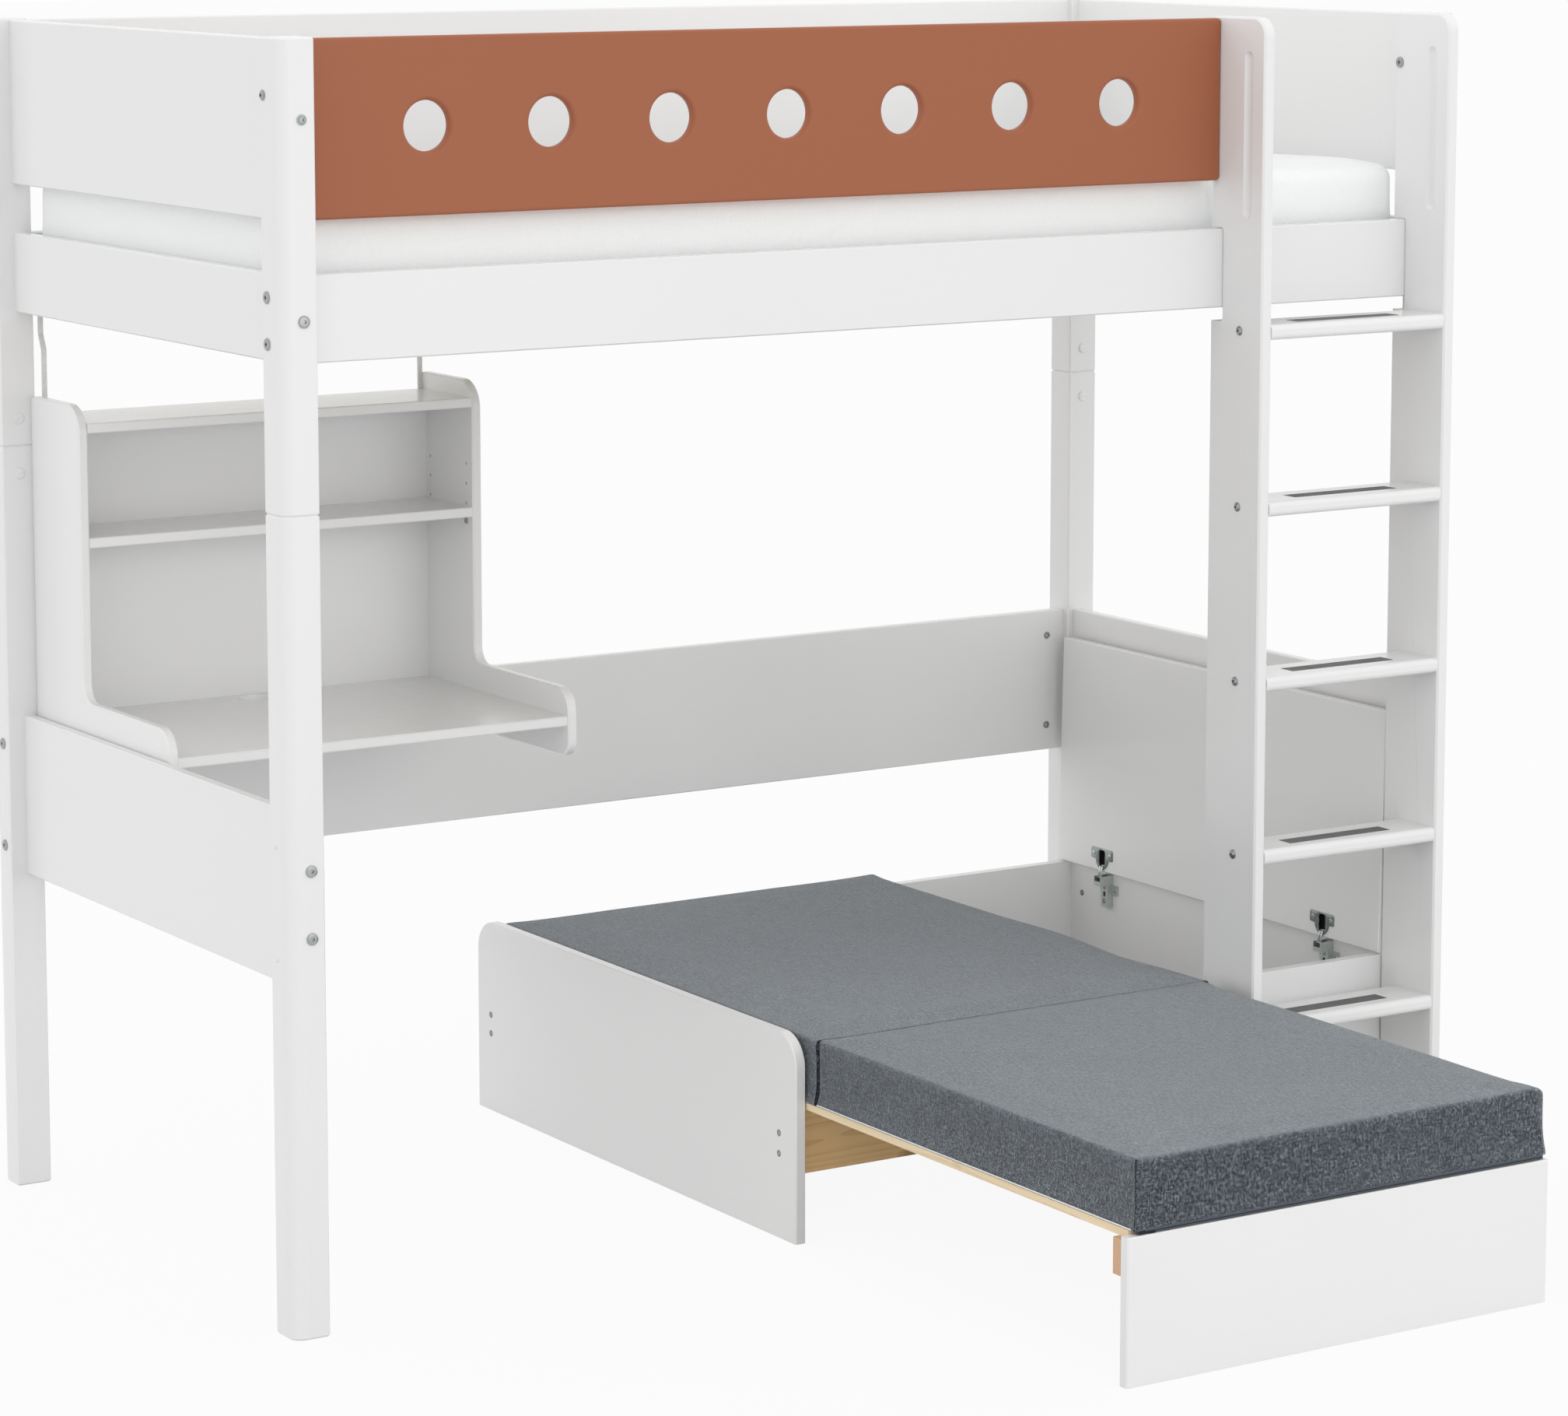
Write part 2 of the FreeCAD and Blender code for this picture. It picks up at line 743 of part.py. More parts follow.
left_inner = desk_left + size("desk_side_thick")
right_inner = desk_right - size("desk_side_thick")
desk_side("desk_side_left", desk_left, 1)
desk_side("desk_side_right", right_inner, -1)

table_top = desk_low + size("desk_top_rise")
table = board(
    "desk_top", (left_inner, desk_front + size("desk_top_setback"), table_top - size("desk_top_thick")),
    (right_inner, desk_back_rear, table_top), "x")
cable_spot = ((left_inner + right_inner) / 2, desk_back_face - size("cable_hole_setback"),
              table_top - size("desk_top_thick") - overrun)
drill(table, cable_spot, "z", size("desk_top_thick") + overrun * 2, size("cable_hole_diameter"))


def shelf(label, top, rear):
    """A shelf between the sides with a rounded front edge."""
    body = new_body(label)
    add_block(body, (left_inner, shelf_front, top - size("shelf_thick")), (right_inner, rear, top))
    dress(body, "Fillet", size("shelf_round"), both(runs_along("x"), lies_at(y=shelf_front)))
    return body


shelf("desk_shelf_upper", shelf_upper_top, desk_back_rear)
shelf("desk_shelf_lower", shelf_lower_top, desk_back_face)
back_sheet = new_body("desk_back")
add_block(back_sheet, (left_inner, desk_back_face, table_top),
          (right_inner, desk_back_rear, shelf_upper_top - size("shelf_thick")))

clips = []
clip_top = shelf_lower_top - size("shelf_thick")
for across in (shelf_front + size("pin_front_setback"), desk_back_face - size("pin_back_setback")):
    for face, inward in ((left_inner, 1), (right_inner, -1)):
        half_clip = size("clip_width") / 2
        reach = face + size("clip_reach") * inward
        web = face + size("clip_thick") * inward
        x_low, x_high = sorted((float(face), float(reach)))
        w_low, w_high = sorted((float(face), float(web)))
        tab = box_shape((x_low, across - half_clip, clip_top - size("clip_thick")),
                        (x_high, across + half_clip, clip_top))
        leaf = box_shape((w_low, across - half_clip, clip_top - size("clip_drop")),
                         (w_high, across + half_clip, clip_top))
        clips.append(tab.fuse(leaf).removeSplitter())
solid_node("shelf_clips", Part.makeCompound(clips))


def strip_outline(points, thick):
    """Closed outline of a bent strip: its centre line moved half a thickness to either side."""
    spots = [FreeCAD.Vector(float(a), float(b), 0) for a, b in points]
    runs = [(end - start).normalize() for start, end in zip(spots, spots[1:])]
    sides = [FreeCAD.Vector(-run.y, run.x, 0) for run in runs]
    miters = [sides[0]]
    for first, second in zip(sides, sides[1:]):
        bisector = (first + second).normalize()
        miters.append(bisector * (1 / bisector.dot(second)))
    miters.append(sides[-1])
    half = float(thick) / 2
    one_side = [spot + miter * half for spot, miter in zip(spots, miters)]
    other = [spot - miter * half for spot, miter in zip(spots, miters)]
    return one_side + other[::-1]


hangers = []
hanger_middle = desk_back_rear + size("hanger_thick") / 2
hook_middle = rail_back_inner - size("hanger_thick") / 2
hanger_bend = size("rail_low") - size("hanger_bend_drop")
HANGER_LINE = (
    (hanger_middle, desk_head - size("hanger_tail")),
    (hanger_middle, hanger_bend - size("hanger_joggle")),
    (hook_middle, hanger_bend),
    (hook_middle, size("rail_low") + size("hanger_grip")),
)
for left in hanger_lefts:
    ring = [FreeCAD.Vector(float(left), spot.x, spot.y)
            for spot in strip_outline(HANGER_LINE, size("hanger_thick"))]
    face = Part.Face(Part.makePolygon(ring + ring[:1]))
    hangers.append(face.extrude(X_AXIS * float(size("hanger_width"))))
solid_node("desk_hangers", Part.makeCompound(hangers))

# Sofa: the side board, the partition towards the storage box, two cross boards between them and the
# fixed slats. The guest bed's slats lie between the fixed ones.

lid_right = inner_right - size("box_post_gap")
seat_right = lid_right - size("box_length")
seat_left = seat_right - size("seat_width")
sofa_left = seat_left - size("board_thick")
partition_right = seat_right + size("box_wall")

side = new_body("sofa_side")
add_block(side, (sofa_left, size("sofa_front") + size("side_setback"), ZERO),
          (seat_left, sofa_back, size("sofa_side_height")))
dress(side, "Fillet", size("sofa_side_round"), both(runs_along("x"), lies_at(z=size("sofa_side_height"))))
dress(side, "Chamfer", size("sofa_side_chamfer"),
      lambda edge: not runs_along("x")(edge) and edge.CenterOfMass.z > float(overrun))

partition = new_body("sofa_partition")
add_block(partition, (seat_right, size("sofa_front"), ZERO), (partition_right, sofa_back, size("box_height")))

cross_low = size("platform_height") - size("cross_board_height")
cross_front = size("sofa_front") + size("cross_board_setback")
cross_back = sofa_back - size("cross_board_tail") - size("cross_board_thick")
crosses = []
for front in (cross_front, cross_back):
    crosses.append(box_shape((seat_left, front, cross_low),
                             (seat_right, front + size("cross_board_thick"), size("platform_height"))))
solid_node("sofa_cross_boards", Part.makeCompound(crosses))

slat_count = GUEST_SLATS * 2 - 1
slat_room = size("seat_width") - size("slat_edge_gap") * 2 - size("slat_width")
slat_step = slat_room / (slat_count - 1)


def seat_slat(number, front, back, low):
    """One slat of the seat, counted from the side board."""
    left = seat_left + size("slat_edge_gap") + slat_step * number
    return box_shape((left, front, low), (left + size("slat_width"), back, low + size("slat_thick")))


guest_slat_low = size("platform_height") + size("run_gap")
sofa_slat_low = guest_slat_low + size("run_gap")
sofa_slats = [seat_slat(number, cross_front, cross_back + size("cross_board_thick"), sofa_slat_low)
              for number in range(1, slat_count, 2)]
solid_node("sofa_slats", Part.makeCompound(sofa_slats))

# Pull-out guest bed, drawn out as far as it goes: a front board on the floor, a batten behind it, the
# sliding slats and a rear batten that stops against the front cross board.

guest_front_face = -guest_reach
guest_inner = guest_front_face + size("guest_thick")
guest_left = sofa_left + size("guest_side_reveal")
guest_right = seat_right - size("guest_box_reveal")
front = new_body("guest_front")
add_block(front, (guest_left, guest_front_face, ZERO), (guest_right, guest_inner, size("guest_height")))
dress(front, "Chamfer", size("board_chamfer"),
      lambda edge: edge.CenterOfMass.z > float(overrun) and not runs_along("y")(edge))

rear_batten_front = cross_front + size("cross_board_thick") + size("guest_stop_gap")
rear_batten_back = rear_batten_front + size("batten_thick")
slats_left = seat_left + size("slat_edge_gap")
slats_right = seat_right - size("slat_edge_gap")
front_batten = box_shape((slats_left, guest_inner, guest_slat_low - size("batten_height")),
                         (guest_right, guest_inner + size("batten_thick"), guest_slat_low))
rear_batten = box_shape((slats_left, rear_batten_front, guest_slat_low - size("rear_batten_height")),
                        (slats_right, rear_batten_back, guest_slat_low))
solid_node("guest_battens", Part.makeCompound([front_batten, rear_batten]))
guest_back = rear_batten_back + size("guest_slat_tail")
guest_slats = [seat_slat(number, guest_inner, guest_back, guest_slat_low)
               for number in range(0, slat_count, 2)]
solid_node("guest_slats", Part.makeCompound(guest_slats))

# Folding mattress in two sections that meet at a top seam.

pad_low = sofa_slat_low + size("slat_thick") + size("soft_gap")
pad_left = seat_left + size("pad_side_gap")
pad_width = size("seat_width") - size("pad_side_gap") * 2
fold_line = size("sofa_front")
pad_rear_front = fold_line + size("pad_fold_gap") / 2
pad_rear_length = sofa_back - size("pad_back_gap") - pad_rear_front
pad_front_front = guest_front_face + size("pad_front_setback")
pad_front_length = fold_line - size("pad_fold_gap") / 2 - pad_front_front
for label, start, length in (
        ("sofa_mattress_rear", pad_rear_front, pad_rear_length),
        ("sofa_mattress_front", pad_front_front, pad_front_length)):
    pad = pad_shape(
        length, pad_width, size("pad_height"), size("pad_crown"), size("pad_edge"), size("pad_pull"))
    pad.translate(vector(pad_left + pad_width / 2, start, pad_low))
    solid_node(label, pad)

# Storage box beside the sofa, with its lid standing open on two concealed hinges.

box_front = post + size("box_front_gap")
box_back_edge = inner_back - size("box_back_gap")
box_depth = box_back_edge - box_front
lid_length = size("box_length") - size("lid_seat_gap")
wall = size("box_wall")
box_inner = lid_right - size("lid_overlay")
box_right = box_inner + wall


def box_board(label, low, high):
    """A plain board of the storage box."""
    body = new_body(label)
    add_block(body, low, high)
    return body


box_board("box_front", (partition_right, box_front, ZERO),
          (box_inner, box_front + wall, size("box_height")))
box_board("box_back", (partition_right, box_back_edge - wall, ZERO),
          (box_inner, box_back_edge, size("box_height")))
box_board("box_end", (box_inner, box_front, ZERO), (box_right, box_back_edge, size("box_height")))
box_board("box_floor", (partition_right, box_front + wall, size("box_floor_rise")),
          (box_inner, box_back_edge - wall, size("box_floor_rise") + size("box_floor_thick")))

# The lid's foot is the lower edge of its underside. Upright it leans back a little. A link joins a
# pin in the arm to a pin in the cup, and its arm pin lies where both the open and the shut lid agree.

lean = math.radians(LID_LEAN)
along = FreeCAD.Vector(math.sin(lean), 0, math.cos(lean))
inward = FreeCAD.Vector(math.cos(lean), 0, -math.sin(lean))
foot = vector(box_inner - size("lid_foot_inset"), box_front, size("box_height") + size("lid_foot_rise"))
pin_along = float(size("lid_pin_setback"))
pin_deep = float(size("lid_pin_depth"))
open_pin = foot + along * pin_along + inward * pin_deep
shut_pin = vector(lid_right - size("lid_pin_setback"), box_front,
                  size("box_height") + size("lid_gap") + size("lid_pin_depth"))
swing = shut_pin - open_pin
toward = FreeCAD.Vector(swing.z, 0, -swing.x).normalize()
arm_pin = (open_pin + shut_pin) * 0.5 + toward * float(size("link_reach"))

upright_lid = FreeCAD.Placement(foot, FreeCAD.Rotation(inward, Y_AXIS, along, "XYZ"))
lid = new_body("storage_lid")
lid_block = add_block(lid, (ZERO, ZERO, ZERO), (size("lid_thick"), box_depth, lid_length))
dress(lid, "Fillet", size("lid_round"), runs_along("y", "z"))
hinge_lines = (size("hinge_front"), box_depth - size("hinge_back"))
for line in hinge_lines:
    drill(lid, (ZERO, line, size("cup_setback")), "x", size("cup_depth"), size("cup_diameter"))
for letter in "xy":
    lid.setExpression(f"Placement.Base.{letter}", None)
lid.Placement = FreeCAD.Placement(vector(-centre_x, -centre_y, 0), FreeCAD.Rotation()) * upright_lid


def in_lid(shape):
    """Carry a shape from the lid's own axes to where the open lid stands."""
    shape = shape.copy()
    shape.Placement = upright_lid * shape.Placement
    return shape


def cup_shape(line):
    """Hinge cup with its screw flange and its link pin, in the lid's axes."""
    middle = (ZERO, line, size("cup_setback"))
    shell = rod_shape(middle, X_AXIS, size("cup_depth"), size("cup_diameter"))
    flange_low = (-size("flange_thick"), line - size("flange_width") / 2,
                  size("cup_setback") + size("flange_offset") - size("flange_height") / 2)
    flange_high = (ZERO, line + size("flange_width") / 2,
                   size("cup_setback") + size("flange_offset") + size("flange_height") / 2)
    rim = rod_shape((-size("flange_thick"), line, size("cup_setback")), X_AXIS,
                    size("flange_thick"), size("cup_diameter") + size("cup_wall") * 2)
    hollow = rod_shape((-size("flange_thick") - overrun, line, size("cup_setback")), X_AXIS,
                       size("cup_depth") + size("flange_thick") + overrun - size("cup_wall"),
                       size("cup_diameter") - size("cup_wall") * 2)
    body = shell.fuse([box_shape(flange_low, flange_high), rim]).cut(hollow)
    pin = rod_shape((size("lid_pin_depth"), line - size("cup_diameter") / 2, size("lid_pin_setback")),
                    Y_AXIS, size("cup_diameter"), size("pin_diameter"))
    return body.fuse(pin.common(shell)).removeSplitter()


solid_node("hinge_cups", Part.makeCompound([in_lid(cup_shape(line)) for line in hinge_lines]))

# The link leaves the cup square to the lid, turns over the lid's edge and ends at the arm pin.

def link_shape(line):
    """Bent link between the cup's pin and the arm's pin."""
    elbow = foot + along * pin_along - inward * float(size("link_elbow_out"))
    bend = foot - along * float(size("link_bend_drop")) - inward * float(size("link_bend_out"))
    points = [(spot.x, spot.z) for spot in (open_pin, elbow, bend, arm_pin)]
    half = float(size("link_width")) / 2
    level = float(box_front) + float(line)
    ring = [FreeCAD.Vector(spot.x, level - half, spot.y)
            for spot in strip_outline(points, size("link_thick"))]
    plate = Part.Face(Part.makePolygon(ring + ring[:1])).extrude(Y_AXIS * float(size("link_width")))
    bore = size("pin_diameter") + size("pin_clearance") * 2
    for pin in (open_pin, arm_pin):
        eye = rod_shape((pin.x, level - half, pin.z), Y_AXIS, size("link_width"), size("link_eye"))
        plate = plate.fuse(eye)
    for pin in (open_pin, arm_pin):
        plate = plate.cut(rod_shape((pin.x, level - half, pin.z), Y_AXIS, size("link_width"), bore))
    return plate.removeSplitter()


solid_node("hinge_links", Part.makeCompound([link_shape(line) for line in hinge_lines]))


def arm_shape(line):
    """Hinge arm: an open channel with a deep nose for the link's pin, on a plate with two wings."""
    level = box_front + line
    half = size("arm_width") / 2
    clear = half - size("arm_wall")
    top = Dim(arm_pin.z, repr(arm_pin.z)) + size("link_eye") / 2
    low = top - size("arm_length")
    plate_face = box_inner - size("plate_thick")
    outer = plate_face - size("arm_depth")
    nose_face = box_inner - size("nose_reach")
    nose_low = top - size("nose_height")
    nose = box_shape((nose_face, level - half, nose_low), (plate_face, level + half, top))
    channel = box_shape((outer, level - half, low), (plate_face, level + half, top))
    room = box_shape((nose_face + size("arm_wall"), level - clear, nose_low + size("arm_wall")),
                     (plate_face + overrun, level + clear, top + overrun))
    hollow = box_shape((outer + size("arm_wall"), level - clear, low + size("arm_wall")),
                       (plate_face + overrun, level + clear, top + overrun))
    mouth = box_shape((nose_face - overrun, level - clear, top - size("nose_mouth")),
                      (plate_face + overrun, level + clear, top + overrun))
    pin = rod_shape((arm_pin.x, level - half, arm_pin.z), Y_AXIS, size("arm_width"), size("pin_diameter"))
    plate_middle = size("box_height") - size("plate_drop")
    wings = box_shape((plate_face, level - size("plate_width") / 2, plate_middle - size("plate_height") / 2),
                      (box_inner, level + size("plate_width") / 2, plate_middle + size("plate_height") / 2))
    rail = box_shape((plate_face, level - half, low), (box_inner, level + half, size("box_height") - overrun))
    shell = channel.fuse(nose).cut(room).cut(hollow).cut(mouth)
    return shell.fuse([pin, wings, rail]).removeSplitter()


solid_node("hinge_arms", Part.makeCompound([arm_shape(line) for line in hinge_lines]))

doc.recompute()

# Check every object before anything is written.

faults = [item.Label for item in doc.Objects if {"Invalid", "Error"} & set(item.State)]
pieces = [item for item in doc.Objects if item.TypeId in ("PartDesign::Body", "Part::Feature")]
for piece in pieces:
    if piece.Shape.isNull() or not piece.Shape.isValid():
        faults.append(piece.Label)
if faults:
    raise RuntimeError("These pieces failed: " + ", ".join(sorted(set(faults))))

os.makedirs("parts", exist_ok=True)
for piece in pieces:
    piece.Shape.exportStep(f"parts/{piece.Label}.step")
print(len(pieces), "pieces written")
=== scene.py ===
# %% [markdown]
# A white loft bed for a child's room: four split posts, rails and guards, a ladder with five treads,
# a desk that hangs from the back rail, a sofa whose pull-out frame and folding mattress make a guest
# bed, and a storage box with a lid on concealed hinges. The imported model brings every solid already
# in place, so this lesson adds what a solid cannot show: finishes, soft mattresses and hardware.

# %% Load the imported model
import bpy
import bmesh
import json
import math
import numpy as np
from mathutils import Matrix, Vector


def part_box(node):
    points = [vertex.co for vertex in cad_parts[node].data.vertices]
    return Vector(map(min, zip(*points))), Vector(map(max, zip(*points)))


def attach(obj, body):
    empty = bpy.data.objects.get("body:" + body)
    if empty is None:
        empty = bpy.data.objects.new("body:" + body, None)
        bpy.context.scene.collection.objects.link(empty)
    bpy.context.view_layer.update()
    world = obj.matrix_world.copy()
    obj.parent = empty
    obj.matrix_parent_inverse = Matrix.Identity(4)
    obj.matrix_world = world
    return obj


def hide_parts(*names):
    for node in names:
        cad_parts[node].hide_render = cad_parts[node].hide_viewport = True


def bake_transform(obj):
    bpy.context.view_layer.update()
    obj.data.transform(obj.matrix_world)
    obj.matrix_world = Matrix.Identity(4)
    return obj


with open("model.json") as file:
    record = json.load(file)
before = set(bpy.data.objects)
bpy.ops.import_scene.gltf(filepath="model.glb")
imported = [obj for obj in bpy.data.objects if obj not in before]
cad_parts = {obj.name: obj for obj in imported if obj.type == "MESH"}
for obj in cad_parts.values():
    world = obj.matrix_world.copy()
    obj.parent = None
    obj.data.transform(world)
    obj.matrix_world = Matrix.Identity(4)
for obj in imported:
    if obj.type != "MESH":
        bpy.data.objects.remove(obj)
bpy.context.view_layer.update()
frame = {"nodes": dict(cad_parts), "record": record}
scene = bpy.context.scene
nodes = frame["nodes"]
post_corner = np.array([*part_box("post_front_left")[0][:2], 0.0])

# %% [markdown]
# All places below are counted as a joiner would measure them: in millimetres, from the outer front
# left corner of the front left post on the floor. One function turns such points into the metres of
# the model's frame, for one point or for a whole array of them, and another turns them back.

# %% Between the joiner's millimetres and the frame's metres
def from_bed(points):
    """Points in millimetres from the post corner, divided by a thousand and moved to the frame."""
    return post_corner + np.asarray(points, float) / 1000


def in_bed(points):
    """From the frame's metres back to the joiner's millimetres."""
    return (np.asarray(points, float) - post_corner) * 1000


scene.view_settings.view_transform = "Standard"
print("post corner at", post_corner.round(4))

# %% [markdown]
# The photograph was taken from the front left, a little above the upper bed, with a long lens. Its
# frame is 2016 by 1820 pixels. The focal length in pixels gives the lens for a 36 mm sensor, and a
# small vertical shift keeps the posts upright, as a view camera does.

# %% Camera
FRAME_WIDTH = 2016
FOCAL_PIXELS = 6226.199
SENSOR = 36
CAMERA_SHIFT = -0.12
CAMERA_PLACE = (-2982.326, -5974.484, 2084.320)
LOOK_DOWN, LOOK_RIGHT = 0.13579, 0.56696
camera_data = bpy.data.cameras.new("photo_camera")
camera_data.sensor_width = SENSOR
camera_data.lens = FOCAL_PIXELS * SENSOR / FRAME_WIDTH
camera_data.shift_y = CAMERA_SHIFT
camera_data.clip_end = 200
camera = bpy.data.objects.new("photo_camera", camera_data)
scene.collection.objects.link(camera)
camera.location = from_bed(CAMERA_PLACE)
camera.rotation_euler = (math.pi / 2 - LOOK_DOWN, 0, -LOOK_RIGHT)
scene.camera = camera
print("lens", round(camera_data.lens, 2), "mm")

# %% [markdown]
# Light and finishes are node trees. A tiny helper adds a node, sets its properties and inputs and links
# what it is given, which keeps each tree readable. Effects that several finishes share become node
# groups with named sockets; a group only puts out what changes over the surface.

# %% Helpers for node trees
def add_node(tree, kind, settings=None, **inputs):
    """A node with properties from settings; each input is a value or an output socket to link."""
    made = tree.nodes.new(kind)
    for name, value in (settings or {}).items():
        setattr(made, name, value)
    for name, value in inputs.items():
        numbered = name[0] == "i" and name[1:].isdigit()
        connect(tree, made.inputs[int(name[1:]) if numbered else name.replace("_", " ")], value)
    return made


def connect(tree, socket, value):
    """Link an output socket to an input, or set the input to a plain value."""
    if isinstance(value, bpy.types.NodeSocket):
        tree.links.new(value, socket)
    else:
        socket.default_value = value


def math_node(tree, operation, first, second=0.0, third=0.0):
    """The output of a Math node."""
    settings = {"operation": operation}
    return add_node(tree, "ShaderNodeMath", settings, i0=first, i1=second, i2=third).outputs[0]


def blend_colours(tree, factor, first, second, kind="MIX"):
    """The output of a colour Mix node."""
    mixer = add_node(tree, "ShaderNodeMix", {"data_type": "RGBA", "blend_type": kind})
    for number, value in ((0, factor), (6, first), (7, second)):
        connect(tree, mixer.inputs[number], value)
    return mixer.outputs[2]


def tinted(tree, colour, tone):
    """A colour multiplied by a grey of the given tone."""
    grey = add_node(tree, "ShaderNodeCombineColor", None, i0=tone, i1=tone, i2=tone)
    return blend_colours(tree, 1.0, colour, grey.outputs[0], "MULTIPLY")


def noise(tree, vector, scale, detail):
    """The value of a Noise Texture."""
    settled = {"Vector": vector, "Scale": scale, "Detail": detail}
    return add_node(tree, "ShaderNodeTexNoise", None, **settled).outputs["Fac"]


def stretched(tree, vector, scale):
    """A vector scaled apart along its axes, which draws a noise out into streaks."""
    return add_node(tree, "ShaderNodeMapping", None, Vector=vector, Scale=scale).outputs[0]


def clamped(tree, value):
    """A value kept between nought and one."""
    return math_node(tree, "MAXIMUM", math_node(tree, "MINIMUM", value, 1.0), 0.0)


print("node helpers ready")

# %% Helpers for groups and finishes
def new_group(name, inputs, outputs):
    """A shader node group; inputs and outputs are pairs of socket name and socket type."""
    group = bpy.data.node_groups.new(name, "ShaderNodeTree")
    for title, kind in inputs:
        group.interface.new_socket(title, in_out="INPUT", socket_type="NodeSocket" + kind)
    for title, kind in outputs:
        group.interface.new_socket(title, in_out="OUTPUT", socket_type="NodeSocket" + kind)
    return group, group.nodes.new("NodeGroupInput").outputs, group.nodes.new("NodeGroupOutput").inputs


def new_finish(name):
    """A material with its node tree and its Principled shader."""
    finish = bpy.data.materials.new(name)
    finish.use_nodes = True
    return finish, finish.node_tree, finish.node_tree.nodes["Principled BSDF"]


def group_finish(name, group, relief, constants, turn=None, move=(0, 0, 0), laid=None, **values):
    """A finish whose colour, gloss and fine relief come from a group. The group reads the piece's Object
    coordinates, turned and moved, or a laid map. Relief is the strength and depth of the bump, and
    constants go on the shader's own sockets."""
    finish, tree, shader = new_finish(name)
    if laid:
        vector = add_node(tree, "ShaderNodeUVMap", {"uv_map": laid}).outputs[0]
    else:
        vector = add_node(tree, "ShaderNodeTexCoord").outputs["Object"]
    if turn:
        mapping = add_node(tree, "ShaderNodeMapping", None, Vector=vector, Rotation=turn, Location=move)
        vector = mapping.outputs[0]
    skin = add_node(tree, "ShaderNodeGroup", {"node_tree": group}, Vector=vector, **values).outputs
    strength, depth = relief
    bump = add_node(tree, "ShaderNodeBump", None, Height=skin["Height"], Strength=strength, Distance=depth)
    tree.links.new(skin["Colour"], shader.inputs["Base Color"])
    tree.links.new(skin["Roughness"], shader.inputs["Roughness"])
    tree.links.new(bump.outputs[0], shader.inputs["Normal"])
    for socket, value in constants.items():
        shader.inputs[socket].default_value = value
    return finish


SKIN_OUTPUTS = (("Colour", "Color"), ("Roughness", "Float"), ("Height", "Float"))
print("finish helpers ready")

# %% [markdown]
# A studio sweep: white paper below and behind, and a surround that does most of the lighting, as in a
# light tent. It is brighter low down than overhead, so that pale upper faces don't burn out. Seen
# directly or in a reflection, the surround is plain white, while the floor still takes a faint shadow
# because a part of it stays an ordinary surface.

# %% Surround and floor paper
SKY_LOW, SKY_HIGH = 1.58, 0.71
SKY_COLOUR = (1, 0.999, 0.998, 1)
PAPER_WHITE = (1, 1, 1, 1)
PAPER_GREY = (0.66, 0.66, 0.66, 1)
PAPER_GLOW = 0.93


def seen_directly(tree):
    """One where a camera, glossy or transmission ray looks, else zero."""
    rays = add_node(tree, "ShaderNodeLightPath").outputs
    seen = math_node(tree, "MAXIMUM", rays["Is Camera Ray"], rays["Is Glossy Ray"])
    return math_node(tree, "MAXIMUM", seen, rays["Is Transmission Ray"])


def mixed(tree, factor, first, second):
    """The output of a Mix Shader node."""
    return add_node(tree, "ShaderNodeMixShader", None, i0=factor, i1=first, i2=second).outputs[0]


world = bpy.data.worlds.new("white_studio")
scene.world = world
world.use_nodes = True
sky = world.node_tree
direction = add_node(sky, "ShaderNodeTexCoord").outputs["Generated"]
heading = add_node(sky, "ShaderNodeSeparateXYZ", None, Vector=direction)
level = add_node(sky, "ShaderNodeMapRange", None, Value=heading.outputs["Z"], To_Min=SKY_LOW, To_Max=SKY_HIGH)
surround = sky.nodes["Background"]
surround.inputs["Color"].default_value = SKY_COLOUR
sky.links.new(level.outputs["Result"], surround.inputs["Strength"])
backdrop = add_node(sky, "ShaderNodeBackground", None, Color=PAPER_WHITE, Strength=1.0)
sky.links.new(mixed(sky, seen_directly(sky), surround.outputs[0], backdrop.outputs[0]),
              sky.nodes["World Output"].inputs["Surface"])

paper = bpy.data.materials.new("studio_paper")
paper.use_nodes = True
sheet = paper.node_tree
sheet.nodes.clear()
plain = add_node(sheet, "ShaderNodeBsdfDiffuse", None, Color=PAPER_GREY).outputs[0]
glow = add_node(sheet, "ShaderNodeEmission", None, Color=PAPER_WHITE, Strength=1.0).outputs[0]
add_node(sheet, "ShaderNodeOutputMaterial", None,
         Surface=mixed(sheet, seen_directly(sheet), plain, mixed(sheet, PAPER_GLOW, plain, glow)))
print("studio:", world.name, paper.name)

# %% [markdown]
# The floor is a wide grid of the paper, a hair below the feet. One broad weak lamp in front and one
# overhead give the faces their small differences.

# %% Floor and lamps
FLOOR_HALF, FLOOR_LINES, FLOOR_DROP = 60, 13, 0.0008


def grid_faces(rows, columns, wrap_rows=False, wrap_columns=False):
    """Quads of a grid of points numbered row by row; wrapping joins the last row or column to the first."""
    i = np.arange(rows if wrap_rows else rows - 1)
    j = np.arange(columns if wrap_columns else columns - 1)
    i, j = (side.ravel() for side in np.meshgrid(i, j, indexing="ij"))
    here, below = i * columns, (i + 1) % rows * columns
    beside = (j + 1) % columns
    return np.stack([here + j, here + beside, below + beside, below + j], -1)


def softbox(name, place, target, side, power):
    """A square area lamp that looks at a point."""
    lamp = bpy.data.lights.new(name, "AREA")
    lamp.shape = "SQUARE"
    lamp.size = side
    lamp.energy = power
    holder = bpy.data.objects.new(name, lamp)
    holder.location = place
    away = np.asarray(place, float) - np.asarray(target, float)
    flat = math.hypot(away[0], away[1])
    holder.rotation_euler = (math.atan2(flat, away[2]), 0, math.atan2(away[1], away[0]) + math.pi / 2)
    scene.collection.objects.link(holder)


